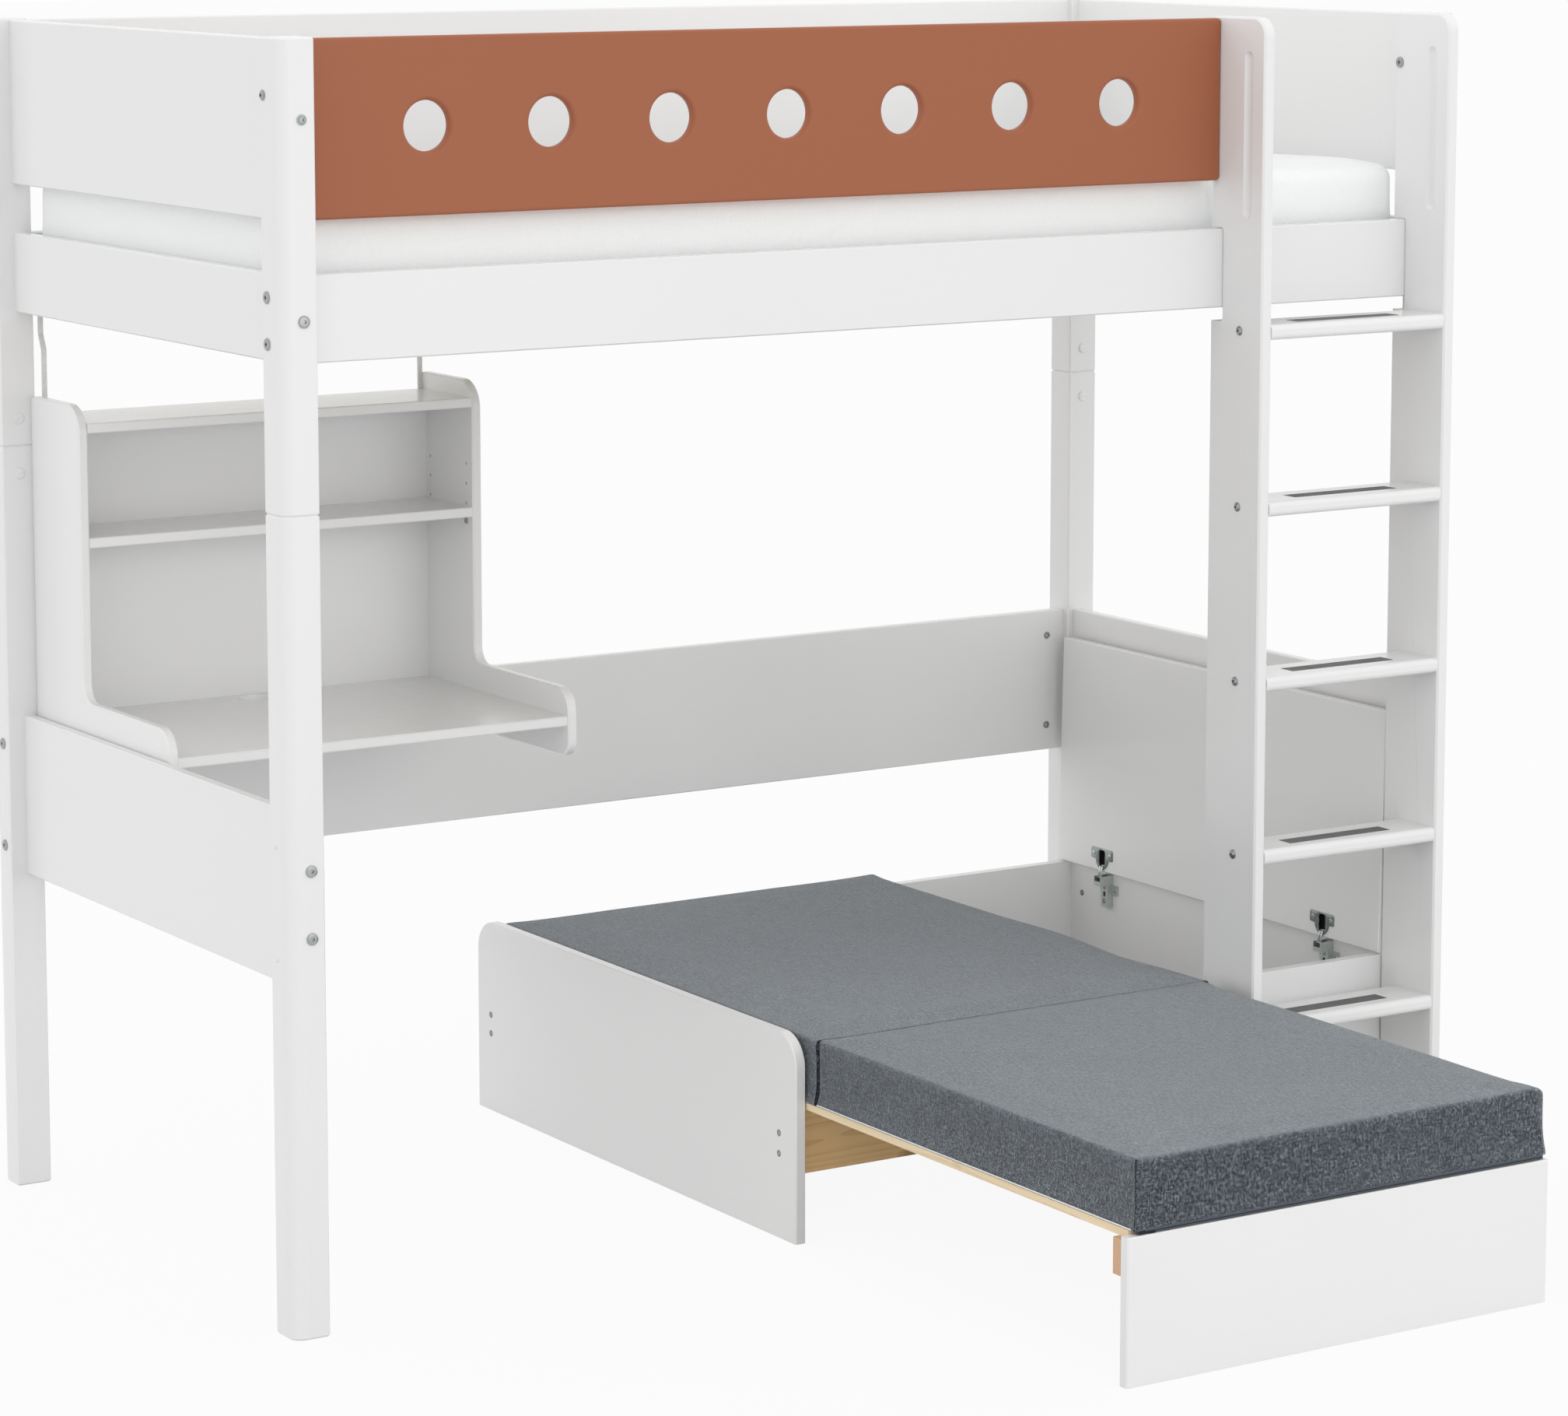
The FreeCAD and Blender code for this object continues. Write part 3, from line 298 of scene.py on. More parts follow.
span = np.linspace(-FLOOR_HALF, FLOOR_HALF, FLOOR_LINES)
floor_x, floor_y = np.meshgrid(span, span, indexing="ij")
floor_points = np.stack([floor_x, floor_y, np.full_like(floor_x, -FLOOR_DROP)], -1).reshape(-1, 3)
floor_mesh = bpy.data.meshes.new("studio_floor")
floor_quads = grid_faces(FLOOR_LINES, FLOOR_LINES)[:, ::-1]
floor_mesh.from_pydata(floor_points.tolist(), [], floor_quads.tolist())
floor_mesh.materials.append(paper)
floor = bpy.data.objects.new("studio_floor", floor_mesh)
scene.collection.objects.link(floor)
softbox("front_softbox", (1.0, -6.5, 1.7), (0.2, 0, 0.9), 4.0, 38)
softbox("top_softbox", (0.3, -0.6, 8.0), (0.2, -0.3, 0), 6.5, 43)

# %% [markdown]
# Lacquer on boards: sprayed and rolled paint is never quite flat. It has a fine orange peel about a
# millimetre across, the ghost of the grain under it, small drifts in gloss and a hardly visible drift
# in tone. The grain runs along one axis of the incoming vector, so each finish can turn it.

# %% Group: lacquer film
film, film_in, film_out = new_group(
    "lacquer_film",
    (("Vector", "Vector"), ("Colour", "Color"), ("Grain", "Float"), ("Gloss", "Float")), SKIN_OUTPUTS)
peel = noise(film, film_in["Vector"], 620.0, 2.0)
ghost = noise(film, stretched(film, film_in["Vector"], (2.2, 190.0, 190.0)), 1.0, 4.0)
drift = noise(film, film_in["Vector"], 2.6, 2.0)
dabs = noise(film, film_in["Vector"], 34.0, 3.0)
ghost_tone = math_node(film, "MULTIPLY", math_node(film, "SUBTRACT", ghost, 0.5), film_in["Grain"])
tone = math_node(film, "MULTIPLY_ADD", ghost_tone, 0.06, math_node(film, "MULTIPLY_ADD", drift, 0.03, 0.97))
gloss = math_node(film, "MULTIPLY_ADD", dabs, 0.07, film_in["Gloss"])
film.links.new(tinted(film, film_in["Colour"], tone), film_out["Colour"])
film.links.new(math_node(film, "MULTIPLY_ADD", ghost_tone, 0.10, gloss), film_out["Roughness"])
film.links.new(math_node(film, "MULTIPLY_ADD", peel, 0.45, ghost_tone), film_out["Height"])


def lacquer(name, colour, turn, grain, gloss, relief, shine=0.42):
    """A lacquered finish; turn is the rotation that lays the grain along the board."""
    return group_finish(name, film, (relief, 0.0004), {"Specular IOR Level": shine}, turn,
                        Colour=(*colour, 1), Grain=grain, Gloss=gloss)


WHITE = (0.82, 0.82, 0.82)
TERRACOTTA = (0.362, 0.122, 0.060)
QUARTER = math.pi / 2
GRAIN_TURNS = {"x": (0, 0, 0), "y": (0, 0, QUARTER), "z": (0, QUARTER, 0)}
white_along = {axis: lacquer("white_lacquer_" + axis, WHITE, turn, 0.18, 0.17, 0.16)
               for axis, turn in GRAIN_TURNS.items()}
terracotta = lacquer("terracotta_lacquer", TERRACOTTA, (0, 0, 0), 0.2, 0.38, 0.18, 0.25)
print("lacquers:", [m.name for m in white_along.values()], terracotta.name)

# %% [markdown]
# Bare pine shows growth bands that run along the board, fine streaks between them and a knot now and
# then. Cut across, as at the end of the batten, the same rings close into arcs. Rings are distances
# from a wandering pith line, so one formula gives flat-sawn faces and end grain alike.

# %% Group: pine growth
KNOT = (0.20, 0.085, 0.03, 1)
growth, growth_in, growth_out = new_group(
    "pine_growth",
    (("Vector", "Vector"), ("Pale", "Color"), ("Dark", "Color"), ("Ring", "Float")), SKIN_OUTPUTS)
wander = noise(growth, stretched(growth, growth_in["Vector"], (1.3, 9.0, 9.0)), 1.0, 2.0)
part = add_node(growth, "ShaderNodeSeparateXYZ", None, Vector=growth_in["Vector"]).outputs
offset = math_node(growth, "MULTIPLY_ADD", wander, 0.045, 0.028)
across = math_node(growth, "ADD", part["Y"], offset)
depth = math_node(growth, "MULTIPLY_ADD", offset, 0.6, part["Z"])
reach = math_node(growth, "SQRT", math_node(
    growth, "MULTIPLY_ADD", across, across, math_node(growth, "MULTIPLY", depth, depth)))
rings = math_node(growth, "FRACT", math_node(growth, "DIVIDE", reach, growth_in["Ring"]))
late = math_node(growth, "POWER", rings, 2.4)
streak = noise(growth, stretched(growth, growth_in["Vector"], (9.0, 620.0, 620.0)), 1.0, 3.0)
knot_place = stretched(growth, growth_in["Vector"], (4.2, 11.0, 11.0))
knot = add_node(growth, "ShaderNodeTexVoronoi", {"feature": "F1"}, Vector=knot_place, Scale=1.0)
knot_edge = add_node(growth, "ShaderNodeMapRange", None, Value=knot.outputs["Distance"], From_Min=0.03,
                     From_Max=0.12, To_Min=1.0, To_Max=0.0)
streaks = math_node(growth, "MULTIPLY", math_node(growth, "SUBTRACT", streak, 0.5), 0.7)
amount = clamped(growth, math_node(growth, "MULTIPLY_ADD", late, 0.62, streaks))
bare = blend_colours(growth, amount, growth_in["Pale"], growth_in["Dark"])
knot_share = math_node(growth, "MULTIPLY", knot_edge.outputs[0], 0.55)
growth.links.new(blend_colours(growth, knot_share, bare, KNOT), growth_out["Colour"])
growth.links.new(math_node(growth, "MULTIPLY_ADD", amount, -0.15, 0.62), growth_out["Roughness"])
growth.links.new(math_node(growth, "SUBTRACT", amount, streak), growth_out["Height"])


def pine(name, pale, dark, turn, move, ring=0.0042):
    """Bare pine; turn lays the grain along the board and move shifts which part of the tree it is."""
    return group_finish(name, growth, (0.25, 0.0005), {"Specular IOR Level": 0.3}, turn, move,
                        Pale=(*pale, 1), Dark=(*dark, 1), Ring=ring)


pale_pine = ((0.87, 0.72, 0.50), (0.74, 0.54, 0.31))
bleached_pine = ((0.80, 0.72, 0.58), (0.70, 0.58, 0.42))
ripe_pine = ((0.95, 0.66, 0.34), (0.74, 0.45, 0.19))
end_pine = ((0.70, 0.46, 0.30), (0.48, 0.26, 0.14))
slat_pine = pine("pine_slats", *pale_pine, (0, 0, -QUARTER), (0.02, 0.03, -0.18))
batten_pine = pine("pine_battens", *end_pine, (0, 0, 0), (0.1, 0.835, -0.155), 0.0034)
base_pine = pine("pine_bed_base", *bleached_pine, (0, 0, -QUARTER), (0.05, 0.02, -1.43))
board_pine = pine("pine_cross_boards", *ripe_pine, (0, 0, 0), (0.31, 0.0285, -0.18), 0.0065)
print("pines:", slat_pine.name, batten_pine.name, base_pine.name, board_pine.name)

# %% [markdown]
# The sofa cover is a melange twill: dark grey and pale blue-grey yarns cross in a diagonal rib about two
# millimetres wide. Every float, three yarns long and one yarn higher than its neighbour, has its own
# tone, so the cloth is a fine speckle, and single yarns stay lighter or darker over a few centimetres.
# The pattern reads the cover's own map, which is laid out in metres, so it turns every edge with the
# cloth.

# %% Group: twill weave
twill, twill_in, twill_out = new_group(
    "twill_weave",
    (("Vector", "Vector"), ("Pitch", "Float"), ("Dark", "Color"), ("Pale", "Color"), ("Share", "Float")),
    SKIN_OUTPUTS)


def half_turns(steps):
    """The sine of a number of half turns."""
    return math_node(twill, "SINE", math_node(twill, "MULTIPLY", steps, math.pi))


pitch_scale = math_node(twill, "DIVIDE", 1.0, twill_in["Pitch"])
yarn = add_node(twill, "ShaderNodeVectorMath", {"operation": "SCALE"}, i0=twill_in["Vector"],
                Scale=pitch_scale).outputs[0]
count = add_node(twill, "ShaderNodeSeparateXYZ", None, Vector=yarn)
warp_step, weft_step = count.outputs["X"], count.outputs["Y"]
rib = half_turns(math_node(twill, "ADD", warp_step, weft_step))
warp_round, weft_round = (math_node(twill, "ABSOLUTE", half_turns(step)) for step in (warp_step, weft_step))
warp_number = math_node(twill, "FLOOR", warp_step)
climbed = math_node(twill, "ADD", weft_step, warp_number)
float_number = math_node(twill, "FLOOR", math_node(twill, "DIVIDE", climbed, 3.0))
crossing = add_node(twill, "ShaderNodeCombineXYZ", None, X=warp_number, Y=float_number)
chance = add_node(twill, "ShaderNodeTexWhiteNoise", {"noise_dimensions": "2D"}, Vector=crossing.outputs[0])
warp_tone = noise(twill, stretched(twill, yarn, (0.9, 0.05, 1.0)), 1.0, 2.0)
weft_tone = noise(twill, stretched(twill, yarn, (0.07, 0.9, 1.0)), 1.0, 2.0)
on_top = add_node(twill, "ShaderNodeMapRange", None, Value=rib, From_Min=-0.5, From_Max=0.5)
yarn_tone = add_node(twill, "ShaderNodeMix", None, i0=on_top.outputs[0], i2=warp_tone, i3=weft_tone)
fuzz = noise(twill, yarn, 0.36, 3.0)
patch = noise(twill, twill_in["Vector"], 7.0, 2.0)
mix = twill_in["Share"]
waves = ((chance.outputs["Value"], 0.40), (yarn_tone.outputs[0], 1.5), (fuzz, 1.4), (patch, 0.16))
for wave, weight in waves:
    mix = math_node(twill, "MULTIPLY_ADD", math_node(twill, "SUBTRACT", wave, 0.5), weight, mix)
mix = clamped(twill, math_node(twill, "MULTIPLY_ADD", rib, 0.17, mix))
bulge = math_node(twill, "MULTIPLY_ADD", math_node(twill, "ADD", warp_round, weft_round), 0.3, rib)
twill.links.new(blend_colours(twill, mix, twill_in["Dark"], twill_in["Pale"]), twill_out["Colour"])
twill.links.new(math_node(twill, "MULTIPLY_ADD", mix, 0.1, 0.82), twill_out["Roughness"])
twill.links.new(math_node(twill, "MULTIPLY_ADD", fuzz, 0.9, bulge), twill_out["Height"])
print("weave nodes:", len(twill.nodes))

# %% Cover cloths
SHEEN_ROUGHNESS = 0.3
CLOTH_SHINE = 0.2
GREY_YARNS = ((0.017, 0.021, 0.030), (0.405, 0.453, 0.512))
WHITE_YARNS = ((0.90, 0.925, 0.92), (0.95, 0.97, 0.965))


def cover_cloth(name, dark, pale, share, pitch, relief, sheen, tint=(1, 1, 1)):
    """A woven cover that reads the piece's own map; share is the part of pale yarn."""
    constants = {"Specular IOR Level": CLOTH_SHINE, "Sheen Weight": sheen, "Sheen Roughness": SHEEN_ROUGHNESS,
                 "Sheen Tint": (*tint, 1)}
    return group_finish(name, twill, (relief, 0.0006), constants, laid="cover", Pitch=pitch,
                        Dark=(*dark, 1), Pale=(*pale, 1), Share=share)


grey_cover = cover_cloth("grey_twill_cover", *GREY_YARNS, 0.155, 0.0015, 0.8, 1.0, (0.90, 0.96, 1.0))
white_cover = cover_cloth("white_knit_cover", *WHITE_YARNS, 0.5, 0.0011, 0.25, 0.05)
print("cloths:", grey_cover.name, white_cover.name)

# %% [markdown]
# Threads, the zip and the narrow bands along the covers are too thin for the weave. They get a twisted
# yarn: a fine diagonal ripple in tone and height, on the piece's own coordinates.

# %% Group: twisted yarn, and the trims
twist, twist_in, twist_out = new_group(
    "twisted_yarn", (("Vector", "Vector"), ("Colour", "Color"), ("Pitch", "Float")), SKIN_OUTPUTS)
twist_part = add_node(twist, "ShaderNodeSeparateXYZ", None, Vector=twist_in["Vector"]).outputs
twist_rise = math_node(twist, "ADD", twist_part["Y"], twist_part["Z"])
twist_sum = math_node(twist, "ADD", twist_part["X"], twist_rise)
twist_wave = math_node(twist, "SINE", math_node(twist, "DIVIDE", twist_sum, twist_in["Pitch"]))
lint = noise(twist, twist_in["Vector"], 700.0, 2.0)
twist_tone = math_node(twist, "MULTIPLY_ADD", twist_wave, 0.14, math_node(
    twist, "MULTIPLY_ADD", lint, 0.5, 0.75))
twist.links.new(tinted(twist, twist_in["Colour"], twist_tone), twist_out["Colour"])
twist.links.new(math_node(twist, "MULTIPLY_ADD", lint, 0.2, 0.72), twist_out["Roughness"])
twist.links.new(twist_wave, twist_out["Height"])


def yarn_finish(name, colour, pitch=0.00022, sheen=0.0):
    """A thread or narrow band of twisted yarn."""
    constants = {"Specular IOR Level": CLOTH_SHINE, "Sheen Weight": sheen, "Sheen Roughness": SHEEN_ROUGHNESS}
    return group_finish(name, twist, (0.3, 0.0002), constants, Colour=(*colour, 1), Pitch=pitch)


seam_thread = yarn_finish("dark_seam_thread", (0.022, 0.026, 0.034))
fold_thread = yarn_finish("grey_fold_thread", (0.085, 0.095, 0.112), sheen=0.7)
zip_tape = yarn_finish("grey_zip_tape", (0.085, 0.097, 0.115))
zip_coil = yarn_finish("dark_zip_coil", (0.018, 0.021, 0.027), 0.0004)
lining_cloth = yarn_finish("white_lining", (0.84, 0.855, 0.86))
print("trims:", seam_thread.name, fold_thread.name, zip_tape.name, zip_coil.name, lining_cloth.name)

# %% [markdown]
# Hardware: zinc on bolts and hangers, brighter nickel on the hinges, black plastic inside them and white
# plastic caps. Plating has faint drawing streaks and cloudy spots in its gloss.

# %% Group: plated metal, and the small parts
plating, plating_in, plating_out = new_group(
    "plated_metal", (("Vector", "Vector"), ("Colour", "Color"), ("Gloss", "Float")), SKIN_OUTPUTS)
drawn = noise(plating, stretched(plating, plating_in["Vector"], (900.0, 900.0, 60.0)), 1.0, 2.0)
cloud = noise(plating, plating_in["Vector"], 160.0, 3.0)
spots = math_node(plating, "MULTIPLY_ADD", cloud, 0.3, 0.82)
dull = math_node(plating, "MULTIPLY_ADD", cloud, 0.16, plating_in["Gloss"])
plating.links.new(tinted(plating, plating_in["Colour"], spots), plating_out["Colour"])
plating.links.new(math_node(plating, "MULTIPLY_ADD", drawn, 0.08, dull), plating_out["Roughness"])
plating.links.new(drawn, plating_out["Height"])


def plated(name, colour, gloss, metallic=1.0):
    """A plated or moulded small part."""
    return group_finish(name, plating, (0.1, 0.0001), {"Metallic": metallic},
                        Colour=(*colour, 1), Gloss=gloss)


zinc = plated("zinc_plate", (0.40, 0.415, 0.415), 0.16)
dull_zinc = plated("dull_zinc", (0.27, 0.28, 0.28), 0.26)
nickel = plated("nickel_plate", (0.31, 0.345, 0.33), 0.16)
satin_nickel = plated("satin_nickel", (0.64, 0.69, 0.67), 0.32)
polished = plated("polished_nickel", (0.58, 0.61, 0.60), 0.08)
black_plastic = plated("black_plastic", (0.012, 0.012, 0.013), 0.3, 0.0)
white_plastic = plated("white_plastic", (0.80, 0.805, 0.81), 0.3, 0.0)
white_powder = plated("white_powder_coat", (0.79, 0.80, 0.80), 0.34, 0.0)
print("small parts:", zinc.name, nickel.name, polished.name, black_plastic.name, white_plastic.name)

# %% [markdown]
# The strips on the treads are a dense scatter of hard grains in dark binder: cells of a Voronoi pattern
# under a millimetre wide give both the tone and the bump.

# %% Tread grit
BINDER, GRAIN = (0.05, 0.05, 0.052, 1), (0.20, 0.20, 0.20, 1)
grit_finish, grit_tree, grit_shader = new_finish("tread_grit")
grit_place = add_node(grit_tree, "ShaderNodeTexCoord").outputs["Object"]
grain = add_node(grit_tree, "ShaderNodeTexVoronoi", None, Vector=grit_place, Scale=900.0).outputs["Distance"]
soot = noise(grit_tree, grit_place, 60.0, 4.0)
speck = math_node(grit_tree, "MULTIPLY_ADD", grain, 0.7, math_node(grit_tree, "MULTIPLY", soot, 0.4))
grit_bump = add_node(grit_tree, "ShaderNodeBump", None, Height=grain, Strength=0.6, Distance=0.0005)
for value, socket in ((blend_colours(grit_tree, speck, BINDER, GRAIN), "Base Color"),
                      (math_node(grit_tree, "MULTIPLY_ADD", grain, 0.3, 0.55), "Roughness"),
                      (grit_bump.outputs[0], "Normal")):
    grit_tree.links.new(value, grit_shader.inputs[socket])
print("grit:", grit_finish.name)

# %% [markdown]
# Every solid that stays gets its finish by its slot in the record. White boards take the lacquer whose
# grain runs along their longest side, and the pine pieces their own cut of the tree.

# %% Dress the solids that stay
PINE_CUTS = {
    "guest_battens": batten_pine, "sofa_cross_boards": board_pine, "slat_ledgers": base_pine,
    "guest_slats": slat_pine, "sofa_slats": slat_pine, "bed_slats": base_pine, "leg_dowels": slat_pine,
}
HINGE_PLATING = {"hinge_arms": satin_nickel, "hinge_cups": nickel, "hinge_links": nickel}
PLAIN_SLOTS = {"terracotta": terracotta, "grey_cover": grey_cover, "white_cover": white_cover,
               "grip": grit_finish, "white_steel": white_powder}


def finish_of(node, slot):
    """The finish for one solid."""
    if slot == "white":
        low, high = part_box(node)
        return white_along["xyz"[int(np.argmax(np.subtract(high, low)))]]
    if slot == "steel":
        return HINGE_PLATING.get(node, zinc)
    return PINE_CUTS.get(node) or PLAIN_SLOTS[slot]


slot_of = {part["node"]: part["material_slot"] for part in frame["record"]["subparts"]}
for node, slot in slot_of.items():
    mesh = nodes[node].data
    mesh.materials.clear()
    mesh.materials.append(finish_of(node, slot))
print("dressed", len(slot_of), "solids")

# %% [markdown]
# New pieces are built from shells: arrays of points in the joiner's millimetres and the faces between
# them. Shells of one piece are joined, their doubles merged and their faces turned outwards. Edges
# sharper than a given angle stay crisp, and the rest is shaded smooth.

# %% Helper: shells to a piece
def make_piece(name, shells, body, finish, crisp=38.0):
    """One object from shells of points and faces, riding on a body if one is given."""
    starts = np.cumsum([0] + [len(points) for points, _ in shells])
    points = np.concatenate([points for points, _ in shells])
    faces = [[corner + int(start) for corner in face] for (_, shell_faces), start in zip(shells, starts)
             for face in np.asarray(shell_faces, int).tolist()]
    mesh = bpy.data.meshes.new(name)
    mesh.from_pydata(from_bed(points).tolist(), [], faces)
    work = bmesh.new()
    work.from_mesh(mesh)
    bmesh.ops.remove_doubles(work, verts=work.verts, dist=1e-6)
    bmesh.ops.recalc_face_normals(work, faces=work.faces)
    work.to_mesh(mesh)
    work.free()
    mesh.polygons.foreach_set("use_smooth", np.ones(len(mesh.polygons), bool))
    mesh.set_sharp_from_angle(angle=math.radians(crisp))
    mesh.materials.append(finish)
    piece = bpy.data.objects.new(name, mesh)
    scene.collection.objects.link(piece)
    if body:
        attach(piece, body)
    print(name, "faces:", len(mesh.polygons))
    return piece


print("piece helper ready")

# %% Helpers: points, rays and round corners
LEFT, RIGHT, FRONT, BACK = (-1, 0, 0), (1, 0, 0), (0, -1, 0), (0, 1, 0)
TINY = 1e-9


def bed_box(node):
    """Both corners of a solid's box, in the joiner's millimetres."""
    return tuple(in_bed(corner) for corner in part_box(node))


def points_of(x, y, z):
    """Points from three coordinates; a single value is repeated for all of them."""
    return np.stack(np.broadcast_arrays(x, y, z), -1)


def rays(angle):
    """Unit vectors in the given directions."""
    return np.stack([np.cos(angle), np.sin(angle)], -1)


def to_border(ray, low, high):
    """How far each ray from the origin goes until it meets a side of the rectangle round it."""
    return (np.abs(np.where(ray > 0, high, low)) / np.maximum(np.abs(ray), TINY)).min(1)


def round_corners(spots, low, high, radius):
    """Pull points of a rectangle back to its round corners; also each point's way out of the core."""
    core = np.clip(spots, low + radius, high - radius)
    way = spots - core
    way = way * np.minimum(1, radius / np.maximum(np.linalg.norm(way, axis=1)[:, None], TINY))
    return core + way, way


print("post box in mm:", [corner.round(1).tolist() for corner in bed_box("post_front_left")])

# %% [markdown]
# The front guard is one board with seven round holes. On the real board a router has rounded every rim
# generously, more than the solid's bevel shows. Each hole gets a polar grid: going outwards from the
# middle of its wall the profile climbs a quarter round, then runs flat to the border of a rectangular
# cell. The cells tile the face, whose four corners are round, and one half-round rim runs all the way
# round the board.

# %% Front guard: cells round the holes
HOLES, HOLE_RAYS = 7, 96
HOLE_RADIUS = 36.0
HOLE_ROUND = 6.5
HOLE_MARGIN = 194.9
EDGE_ROUND = 4.5
FACE_CORNER = 2.5
FLAT_RING = 1.5
guard_low, guard_high = bed_box("front_guard")
hole_x = np.linspace(guard_low[0] + HOLE_MARGIN, guard_high[0] - HOLE_MARGIN, HOLES)
hole_z = (guard_low[2] + guard_high[2]) / 2
face_low, face_high = (guard_low + EDGE_ROUND)[[0, 2]], (guard_high - EDGE_ROUND)[[0, 2]]
walls = np.concatenate([[face_low[0]], (hole_x[:-1] + hole_x[1:]) / 2, [face_high[0]]])


def to_outline(spots):
    """Points of the face rectangle pulled back to its round corners, and their ways out of the core."""
    return round_corners(spots, face_low, face_high, FACE_CORNER)


def hole_cell(middle, left, right):
    """Rings round one hole: radius and depth follow the wall, a quarter round and the flat face.
    The last ring lies where each ray meets the cell's rectangle, with another close inside it, so that the
    face stays flat in shading; both faces mirror each other.
    Extra rays aim at points close to the cell's corners, which the round corners need."""
    centre = np.array([middle, hole_z])
    near = np.linspace(0, FACE_CORNER, 5)
    corners = [(x, z) for x in (left, right) for z in (face_low[1], face_high[1])]
    aims = [np.stack([x - np.sign(x - middle) * a, z - np.sign(z - hole_z) * b], -1)
            for x, z in corners for a, b in ((near, 0 * near), (0 * near, near))]
    aims = np.concatenate(aims) - centre
    even = np.linspace(-math.pi, math.pi, HOLE_RAYS, endpoint=False)
    angle = np.unique(np.concatenate([even, np.arctan2(aims[:, 1], aims[:, 0])]).round(9))
    ray = rays(angle)
    border = to_border(ray, (left, face_low[1]) - centre, (right, face_high[1]) - centre)
    outline, way = to_outline(centre + ray * border[:, None])
    bend = np.linspace(0, math.pi / 2, 8)
    radius = HOLE_RADIUS + np.append(HOLE_ROUND * (1 - np.cos(bend)), HOLE_ROUND + FLAT_RING)
    depth = np.concatenate([HOLE_ROUND * (1 - np.sin(bend)), [0, 0, 0]])
    inset = centre + ray * (border - FLAT_RING)[:, None]
    flat = np.concatenate([centre + radius[:, None, None] * ray[None], inset[None], outline[None]])
    shells = []
    for face, inward in ((guard_low[1], 1), (guard_high[1], -1)):
        points = points_of(flat[..., 0], (face + inward * depth)[:, None], flat[..., 1])
        shells.append((points.reshape(-1, 3), grid_faces(*flat.shape[:2], wrap_columns=True)))
    lips = np.stack([shells[0][0][:len(angle)], shells[1][0][:len(angle)]])
    shells.append((lips.reshape(-1, 3), grid_faces(2, len(angle), wrap_columns=True)))
    on_rim = np.linalg.norm(way, axis=1) > FACE_CORNER - 1e-4
    return shells, outline[on_rim]


cells = [hole_cell(*sides) for sides in zip(hole_x, walls[:-1], walls[1:])]
print("hole cells:", len(cells), "rays in the first:", len(cells[0][0][2][0]) // 2)

# %% Front guard: rim and board
def guard_rim(outline):
    """The board's edge: a section of two quarter rounds carried once round the outline, outwards from it."""
    middle = (face_low + face_high) / 2
    outline = np.unique(outline.round(6), axis=0)
    outline = outline[np.argsort(np.arctan2(outline[:, 1] - middle[1], outline[:, 0] - middle[0]))]
    _, way = to_outline(outline)
    out = way / np.linalg.norm(way, axis=1)[:, None]
    bend = np.linspace(0, math.pi / 2, 7)
    climb = EDGE_ROUND * np.concatenate([np.sin(bend), np.sin(bend[::-1])])
    sink = EDGE_ROUND * (1 - np.cos(bend))
    level = np.concatenate([guard_low[1] + sink, guard_high[1] - sink[::-1]])
    flat = outline[None] + climb[:, None, None] * out[None]
    points = points_of(flat[..., 0], level[:, None], flat[..., 1])
    return points.reshape(-1, 3), grid_faces(*flat.shape[:2], wrap_columns=True)


guard_shells = [shell for shells, _ in cells for shell in shells]
guard_shells.append(guard_rim(np.concatenate([outline for _, outline in cells])))
guard = make_piece("guard_board", guard_shells, "bed", terracotta, crisp=50)
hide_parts("front_guard")

# %% [markdown]
# The mattresses are foam in sewn covers. Each starts as a box, a little smaller than its solid, with its
# own edge radius on every side, and is blown up by the cloth solver with its base held down: faces crown
# and sides swell between the corners. Where a neighbour is in the way, the start shape reaches past it
# and the cover is pressed flat there. How far a point may travel is capped, as foam hardly stretches.

# %% Helper: round-edged box
def axis_lines(low, high, first, last, step):
    """Places along one side: close together over its two round edges, even in between."""
    share = np.array([0, 0.2, 0.45, 0.72])
    count = max(3, int(round((high - low - first - last) / step)) + 1)
    inner = np.linspace(low + first, high - last, count)
    before = low + first * share if first else share[:0]
    after = high - last * share[::-1] if last else share[:0]
    return np.concatenate([before, inner, after])


def round_box(low, high, round_low, round_high, step):
    """Six face grids of a box. Each point moves towards its nearest point of an inner box until the way
    between them, measured in the edge radii of the sides that it is near, is at most one."""
    lines = [axis_lines(low[k], high[k], round_low[k], round_high[k], step) for k in range(3)]
    shells = []
    for k in range(3):
        a, b = [n for n in range(3) if n != k]
        first, second = np.meshgrid(lines[a], lines[b], indexing="ij")
        for level in (low[k], high[k]):
            grid = np.empty((*first.shape, 3))
            grid[..., a], grid[..., b], grid[..., k] = first, second, level
            points = grid.reshape(-1, 3)
            core = np.clip(points, low + round_low, high - round_high)
            way = points - core
            radii = np.maximum(np.where(way > 0, round_high, round_low), TINY)
            span = np.linalg.norm(way / radii, axis=1)[:, None]
            shells.append((core + way * np.minimum(1, 1 / np.maximum(span, TINY)), grid_faces(*first.shape)))
    return shells


print("box helper ready")

# %% Helper: the cloth solver
SOLVER_FRAMES = 20
COVER_STIFFNESS = {
    "quality": 6, "mass": 0.4, "tension_stiffness": 25, "compression_stiffness": 25, "shear_stiffness": 12,
    "bending_stiffness": 6, "use_pressure": True, "uniform_pressure_force": 4.0,
}


def coordinates(mesh):
    """All vertex places of a mesh as one array."""
    flat = np.empty(len(mesh.vertices) * 3)
    mesh.vertices.foreach_get("co", flat)
    return flat.reshape(-1, 3)


